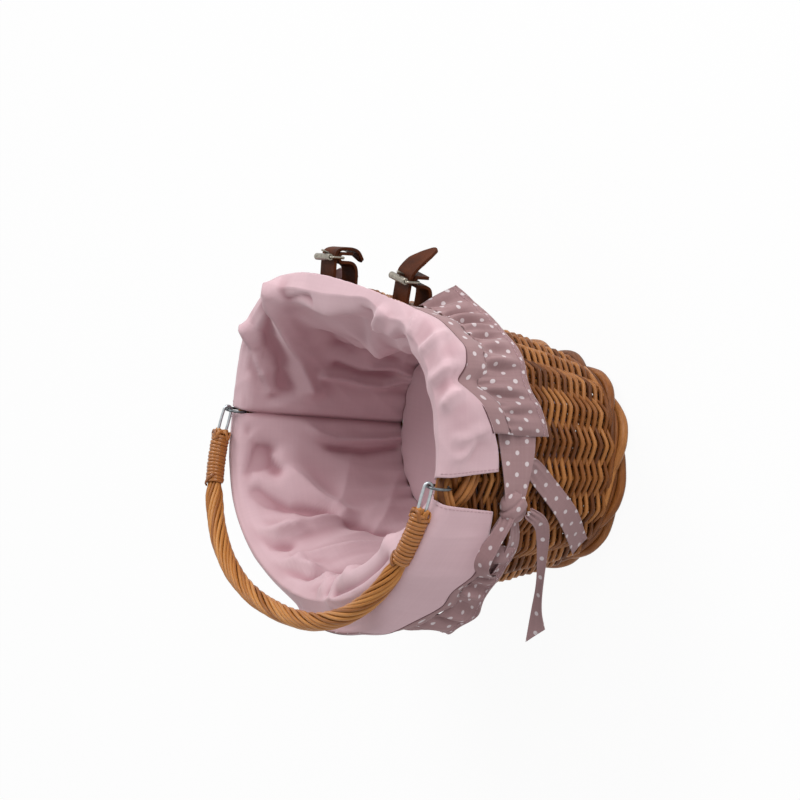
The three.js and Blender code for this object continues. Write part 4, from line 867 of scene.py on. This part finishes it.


# The seam's cord is coloured near black as painted shadow under the cuff's hem.
piping_shadow_cotton = cloth_finish("piping_painted_shadow", [(0.11, 0.05, 0.054), (0.16, 0.075, 0.08)], 0.1)
strap_gap = math.acos((notch_half / mouth_x) ** (back_fullness / 2))
notch_left, notch_right, front_corner = np.interp(
    [np.pi - strap_gap, 2 * np.pi + strap_gap, corner_turn], plan_turns, plan_runs)
trims = (
    ("front", left_seam + band_end, right_seam - band_end, 70),
    ("back_right", right_seam + band_end - 2, notch_right, 30),
    ("back_left", mouth_round + notch_left, mouth_round + left_seam - band_end, 30),
)
for place, start, end, columns in trims:
    runs = np.linspace(start, end, columns * 3 + 1)[None]
    drop = np.linspace(-band_sewn, band_height, 15)[:, None]
    share = np.clip(drop / band_height, 0, 1)
    out = -0.9 + 1.2 * np.sin(np.pi * share) + 0.9 * share * slow_wave(runs, 23)
    out = out + 0.25 * share * by_turn(turn_at(runs), ruffle_flare)
    lay = stacked(runs - start, drop)
    band = thick_sheet(f"dot_band_{place}_cloth", skirt(runs, drop, out), lay, band_thickness, dotted)
    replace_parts(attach(band, "basket"), f"dot_band_{place}")
    # A thin cord along the band's top edge, dark with painted shadow.
    piping = rod(skirt(runs[0], 0.3, 0.15), thickness=1.1)
    piping = joined(f"dot_band_{place}_piping", [piping], piping_shadow_cotton)
    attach(piping, "basket")

    runs = np.linspace(start, end, columns * 5 + 1)[None]
    drop = np.linspace(-ruffle_sewn, ruffle_height, 32)[:, None]
    share = np.clip(drop / ruffle_height, 0, 1)
    if place == "front":
        free, lifted = 0 * share, 0 * runs
    else:
        strap_end = runs - start if place == "back_left" else end - runs
        free, lifted = share**0.8, np.exp(-strap_end / 15)
    gather = gather_depth * slow_wave(runs, 6.5, 1.0) * (1 - share) ** 1.5
    pleat = pleat_depth * slow_wave(runs, 15, 2.0) * np.sin(np.pi * share**0.7) ** 1.2
    pleat = pleat + tuck_depth * slow_wave(runs, 9, 0.5) * np.sin(np.pi * share**0.5)
    wave = 1.2 * slow_wave(runs, 47, 0.6) * share
    corner = np.exp(-(((runs - front_corner) / 8) ** 2)) * share**2
    flare = (by_turn(turn_at(runs), ruffle_flare) + strap_lift * lifted) * (0.25 + 0.75 * share)
    out = -0.6 + gather + pleat + wave + flare + 3 * share + corner_lift * corner
    shifted = runs + 1.6 * share * slow_wave(runs, 31, 2.0)
    hang = drop * (1 - 0.35 * lifted) + 0.6 * share * slow_wave(runs, 39, 0.4) + 5 * corner
    places = skirt(np.clip(shifted, start, end), hang + band_height, out, free)
    lay = stacked(runs_along(places[16]), drop)
    ruffle = thick_sheet(f"ruffle_{place}_cloth", places, lay, ruffle_thickness, dotted)
    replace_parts(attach(ruffle, "basket"), f"ruffle_{place}")
    hem = joined(f"ruffle_{place}_hem", [rod(places[-1], thickness=1.5)], dotted)
    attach(hem, "basket")
    away = straight_off(places)
    away = away * np.sign(np.sum(away[..., :2] * places[..., :2], axis=-1))[..., None]
    sewn = stitches(f"ruffle_{place}_stitches", (places + 0.55 * away)[-4])

# Ties: ribbons of the dotted cotton at both sides. Two run from the ends of the bands to a knot below
# the handle, and from the knot come one bow loop and two loose tails.


def side_spot(y, z, out):
    """A place beside the wall on the right, out from its face."""
    fullness, depth = (back_fullness, mouth_back) if y > 0 else (front_fullness, mouth_front)
    share = min(abs(y) / (depth - lean_in(z)), 1)
    return (mouth_x - lean_in(z)) * (1 - share**fullness) ** (1 / fullness) + out, y, z


ribbon_thickness, knot_crease, knot_reach = 0.7, 1.3, 9


def ribbon(name, stops, mirror, ends_in_knot, slant):
    """A ribbon through stops of place, width and turn, creased at the knot, with its end cut on a slant."""
    line, _ = smooth_line(np.array(stops, float), 16 * len(stops))
    route, half, turn = line[:, :3], line[:, 3:4] / 2, np.radians(line[:, 4:])
    ahead = unit(np.gradient(route, axis=0))
    across = unit(np.cross(ahead, (1.0, 0.0, 0.0)))
    aside = np.cos(turn) * across + np.sin(turn) * np.cross(ahead, across)
    over = np.cross(ahead, aside)
    lanes = np.concatenate([[-1], np.linspace(-0.94, 0.94, 19), [1]])
    run = runs_along(route)[:, None]
    length = run[-1, 0]
    knotted = np.exp(-run / knot_reach) + np.exp(-(length - run) / knot_reach) * ends_in_knot
    crease = knot_crease * knotted * np.cos(2.7 * np.pi * lanes + 0.6)
    crease = crease + 0.5 * (1 - lanes**2) + 0.5 * np.sin(run / 9) * lanes
    cut = slant * np.clip(run / length * 5 - 4, 0, 1) * lanes * half
    places = sum((way[:, None] * far[..., None] for way, far in (
        (aside, half * lanes), (over, crease), (ahead, cut))), route[:, None])
    places = places * np.array([mirror, 1, 1])
    return thick_sheet(name, places, stacked(run + cut, lanes * half), ribbon_thickness, dotted), length


# Stops of the ribbons are a place, the width there and the turn. The places of the long tail, which
# hangs free, are x, y and z. Those of the others are y, z and the way out from the wall.
tie_stops = {
    "back_ribbon": [
        (40, 106, 8, 31, 0), (26, 105, 9, 27, 0), (10, 105, 11, 22, 0), (-5, 105.5, 12.5, 17, 0),
        (-10, 105.5, 12, 15, 0),
    ],
    "front_ribbon": [(-41, 112, 8, 13, 0), (-27, 109, 9, 13, 0), (-13, 105, 12, 10, 0)],
    "long_tail": [
        (166, -14, 98, 8, 10), (165, -20, 88, 10, 20), (159, -31, 80, 9, 35), (151, -60, 73, 6, 60),
        (142, -86, 67, 8.5, 70), (138, -106, 63, 13.5, 50),
    ],
    "wall_tail": [
        (13, 96, 9, 13, 20), (14, 88, 5.5, 14, 0), (4, 75, 4.6, 15, 0), (-20, 48, 6.2, 16, 0),
        (-46, 21, 8, 16, 0),
    ],
    "bow_loop": [
        (-14, 107, 13, 8, 40), (-27, 115, 17, 11, 60), (-41, 122, 20, 14, 72), (-53, 125, 22, 17, 72),
        (-62, 119, 24, 18, 62), (-66, 108, 24, 18, 50), (-55, 101, 20, 18, 38), (-37, 99, 16, 14, 30),
        (-16, 103, 12, 8, 30),
    ],
}
knot_half, knot_middle = (7.2, 12.6, 10.2), side_spot(-12, 104.8, 11.5)
for side, mirror in right_and_left:
    for part, stops in tie_stops.items():
        in_knot, slant = not part.endswith("tail"), 0.9 if part == "long_tail" else 0
        if part != "long_tail":
            stops = [(*side_spot(y, z, out), width, turn) for y, z, out, width, turn in stops]
        piece, length = ribbon(f"{side}_tie_{part}_cloth", stops, mirror, in_knot, slant)
        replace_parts(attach(piece, "basket"), f"{side}_tie_{part}")
    bpy.ops.mesh.primitive_uv_sphere_add(segments=64, ring_count=40, radius=1)
    knot = bpy.context.object
    ball = np.array([v.co for v in knot.data.vertices])
    angle = np.arctan2(ball[:, 2], ball[:, 0])
    slant = ball[:, 1] * 0.8 + ball[:, 2] * 0.55
    wraps = 1 + 0.03 * np.sin(9 * slant + 0.8 * np.sin(angle)) - 0.12 * np.abs(ball[:, 1]) ** 3
    for groove, depth in ((0.3, 0.2), (-0.5, 0.14)):
        wraps = wraps - depth * np.exp(-(((slant - groove) / 0.08) ** 2))
    places = (ball * knot_half * wraps[:, None] + knot_middle) * np.array([mirror, 1, 1])
    knot.data.vertices.foreach_set("co", (places * mm).ravel())
    draw_map(knot.data, stacked(angle * 9, ball[:, 1] * 11) * mm)
    face_outwards(merge=False)
    bpy.ops.object.shade_smooth()
    knot = joined(f"{side}_tie_knot_cloth", [knot], dotted)
    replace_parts(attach(knot, "basket"), f"{side}_tie_knot")

# Straps: two dark brown leather straps threaded through the rim at the back. Each has one end folded
# round the heel bar of its buckle, and its rounded loose end passes up through the buckle.

leather_colours = [(0.3, (0.034, 0.0085, 0.0032)), (0.75, (0.1, 0.027, 0.0095))]
leather = new_finish(
    "brown_leather",
    ("spot", "TexCoord", {}),
    ("pores", "TexVoronoi", {"Vector": "spot.Object", "Scale": 900.0}),
    ("cloud", "TexNoise", {"Vector": "spot.Object", "Scale": 90.0, "Detail": 5.0}),
    ("ramp", "ValToRGB", {0: "cloud"}, {"stops": leather_colours}),
    ("rub", "MapRange", {0: "cloud", "To Min": 0.42, "To Max": 0.6}),
    ("dent", "Bump", {"Strength": 0.2, "Distance": 0.0004, "Height": "pores"}),
    (shader, "", {"Base Color": "ramp", "Roughness": "rub", "Normal": "dent", "Specular IOR Level": 0.06}),
)
nickel = metal_finish("antique_nickel", (0.36, 0.325, 0.27), 0.27, 0.5)

strap_half, strap_thickness, strap_inset, strap_bend = 10, 2.3, 8.5, 3
strap_x, strap_y, strap_spin = 53.949, 110.1264, 0.10198
buckle_out, run_level, under_level, roller_level, heel_level = 19.5, -11.0, -29.0, -6.4, -16.9556
fold_radius, folded_end, tail_over = 3.1556, 8, 25.856
strap_tails = {
    "left": [(tail_over - 8, 27), (tail_over - 1, 19), (tail_over + 0.5, 9), (tail_over - 1.5, 2)],
    "right": [(tail_over + 16, 22), (tail_over + 11, 14), (tail_over + 5.5, 6.5), (tail_over - 1, 1.3)],
}


def bezier(points, count):
    """Places along a Bezier curve after its first point. Two points make a straight line."""
    share = np.linspace(0, 1, count)[1:, None]
    lines = [np.array(point, float) for point in points]
    while len(lines) > 1:
        lines = [a + share * (b - a) for a, b in zip(lines, lines[1:])]
    return lines[0]


def strap_line(tail):
    """Middle of a strap as distance out and height from the rim's top, from its tip to its fold."""
    upper, lower = (-lean_in(rim_top + level) - strap_inset for level in (run_level, under_level))
    bend, near, far = strap_bend, buckle_out - fold_radius, buckle_out + fold_radius
    loose = [(out, run_level - drop) for out, drop in tail] + [(buckle_out, run_level)]
    fold = np.linspace(np.pi, 0, 14)[1:]
    swoop = [(6.5, under_level), (buckle_out - fold_radius / 2, under_level)]
    return np.concatenate([
        smooth_line(np.array(loose), 40)[0],
        bezier([(buckle_out, run_level), (upper + bend, run_level)], 12),
        bezier([(upper + bend, run_level), (upper, run_level), (upper, run_level - bend)], 8),
        bezier([(upper, run_level - bend), (lower, under_level + bend)], 7),
        bezier([(lower, under_level + bend), (lower, under_level), (lower + bend, under_level)], 8),
        bezier([(lower + bend, under_level), swoop[0]], 8),
        bezier([*swoop, (near, heel_level - 2 * fold_radius), (near, heel_level)], 14),
        stacked(buckle_out + fold_radius * np.cos(fold), heel_level + fold_radius * np.sin(fold)),
        bezier([(far, heel_level), (far, heel_level - folded_end)], 6),
    ])


buckle_half, buckle_corner = 11.9, 2.2
roller_half, roller_radius, roller_bore, roller_edge = 10.4, 2.5, 1.35, 0.3
prong_radius, prong_lean, prong_over = 2.75, 4.2, 2
for side, mirror in right_and_left[::-1]:
    spin = -mirror * strap_spin
    across, outward = (math.cos(spin), math.sin(spin), 0), (-math.sin(spin), math.cos(spin), 0)

    def at_strap(points):
        """Places across, out and up at the strap, moved to the rim."""
        ways, foot = [across, outward, (0, 0, 1)], (mirror * strap_x, strap_y, rim_top)
        return np.asarray(points, float) @ ways + foot

    line = strap_line(strap_tails[side])
    lanes = np.array([-10, -9.5, -8, -4.5, -1.8, 1.8, 4.5, 8, 9.5, 10])
    tip_run = runs_along(line)[:, None]
    narrowed = np.interp(tip_run, [0, 0.6, 2, 8, 17], [0.12, 0.24, 0.36, 0.68, 1])
    places = stacked(lanes / 10 * strap_half * narrowed, line[:, :1], line[:, 1:])
    lay = stacked(tip_run, lanes)
    strap = thick_sheet(f"{side}_leather_strap", at_strap(places), lay, strap_thickness, leather)
    edge = strap.modifiers.new("edge", "BEVEL")
    edge.width, edge.segments, edge.limit_method, edge.angle_limit = 0.5 * mm, 2, "ANGLE", math.radians(50)
    bpy.ops.object.modifier_apply(modifier=edge.name)
    bpy.ops.object.shade_smooth_by_angle(angle=math.radians(50))
    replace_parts(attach(strap, "basket"), f"{side}_strap")

    right = buckle_half - buckle_corner
    top, bottom = roller_level - buckle_corner, heel_level + buckle_corner
    frame_line = []
    for x, z, first in ((right, top, 0), (-right, top, 90), (-right, bottom, 180), (right, bottom, 270)):
        bend = np.radians(first + np.linspace(0, 90, 7))
        corner = buckle_corner * stacked(np.cos(bend), 0, np.sin(bend))
        frame_line.append((x, buckle_out, z) + corner)
    wire = rod(at_strap(np.concatenate(frame_line)), thickness=2.2, sides=10, closed=True, beside=outward)
    buckle = joined(f"{side}_buckle_wire", [wire], nickel)
    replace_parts(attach(buckle, "basket"), f"{side}_buckle_frame")

    around = np.linspace(0, 2 * np.pi, 25)
    around[-1] = 0
    end = [
        (roller_half, roller_bore), (roller_half, roller_radius - roller_edge),
        (roller_half - roller_edge, roller_radius),
    ]
    profile = end + [(-x, radius) for x, radius in end[::-1]] + end[:1]
    x, radius = np.array(profile).T[..., None]
    shell = stacked(x, buckle_out + radius * np.cos(around), roller_level + radius * np.sin(around))
    tube = rolled_grid(f"{side}_buckle_tube", at_strap(shell), stacked(x, around * 3) * mm)
    bpy.ops.object.shade_smooth_by_angle(angle=math.radians(35))
    tube.data.materials.append(nickel)
    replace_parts(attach(tube, f"{side}_roller"), f"{side}_buckle_roller")

    rise = roller_level - heel_level
    tilt = math.atan2(prong_lean, rise)
    length = rise / math.cos(tilt) + prong_over
    bend, reach = np.radians(np.linspace(250, 20, 14)), np.linspace(0.34, 1, 10)
    curl = stacked(0, buckle_out + prong_radius * np.cos(bend), heel_level + prong_radius * np.sin(bend))
    out = buckle_out + length * reach * math.sin(tilt) + 0.5 * (reach - 1) ** 2
    spike = stacked(0, out, heel_level + length * reach * math.cos(tilt))
    thickness = np.concatenate([np.full(14, 2.0), np.linspace(2.0, 1.5, 10)])
    wire = rod(at_strap(np.concatenate([curl, spike])), thickness, sides=8, beside=across)
    tongue = joined(f"{side}_buckle_tongue", [wire], nickel)
    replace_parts(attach(tongue, f"{side}_prong"), f"{side}_buckle_prong")

# Studio: a pale floor that keeps a soft shadow, two lamps above and behind the straps, a weaker one in
# front, and a camera that looks down into the mouth from the right, turned on its side.

bpy.ops.mesh.primitive_plane_add(size=9, location=(0, 0, -9.3 * mm))
ground_plane = bpy.context.object
ground_plane.name = "studio_floor"
seen_rows = (
    ("rays", "LightPath", {}),
    ("seen", "Math MAXIMUM", {0: "rays.Is Camera Ray", 1: "rays.Is Glossy Ray"}),
    ("seen_all", "Math MAXIMUM", {0: "seen", 1: "rays.Is Transmission Ray"}),
)
pale = new_finish(
    "pale_floor", *seen_rows,
    ("much", "Math MULTIPLY", {0: "seen_all", 1: 0.94}),
    ("matt", "BsdfDiffuse", {"Color": (0.86, 0.86, 0.86, 1)}),
    ("glow", "Emission", {}),
    ("blend", "MixShader", {0: "much", 1: "matt", 2: "glow"}),
    ("Material Output", "", {"Surface": "blend"}),
)
pale.node_tree.nodes.remove(pale.node_tree.nodes[shader])
ground_plane.data.materials.append(pale)

world = bpy.data.worlds.new("studio")
bpy.context.scene.world = world
world.use_nodes = True
grow(
    world.node_tree, *seen_rows,
    ("level", "MapRange", {0: "seen_all", "To Min": 0.5, "To Max": 1.0}),
    ("Background", "", {"Color": (1, 1, 1, 1), "Strength": "level"}),
)

lamps = (
    ("key_lamp", (1.05, 1.65, 0.6), 1.0, 20), ("mouth_lamp", (-0.7, 1.3, 1.5), 1.0, 20),
    ("front_lamp", (1.3, -1.7, 0.45), 1.4, 5.5),
)
for name, place, size, power in lamps:
    light = bpy.data.lights.new(name, "AREA")
    light.size, light.energy = size, power
    held = bpy.data.objects.new(name, light)
    bpy.context.collection.objects.link(held)
    held.location = place
    held.rotation_mode = "QUATERNION"
    held.rotation_quaternion = (Vector((0, 0, 0.1)) - held.location).to_track_quat("-Z", "Y")

camera = bpy.data.cameras.new("camera")
camera.sensor_width, camera.lens = 36, 160.35
camera.clip_start, camera.clip_end = 0.1, 30
viewer = bpy.data.objects.new("camera", camera)
bpy.context.collection.objects.link(viewer)
right, up = (0.483106, 0.112567, -0.868296), (-0.167626, 0.985248, 0.034464)
back = (0.859366, 0.128899, 0.494848)
axes = Matrix((right, up, back)).transposed()
viewer.matrix_world = Matrix.LocRotScale((2.19924, 0.36549, 1.37947), axes.to_quaternion(), None)
bpy.context.scene.camera = viewer
bpy.context.scene.view_settings.view_transform = "Standard"
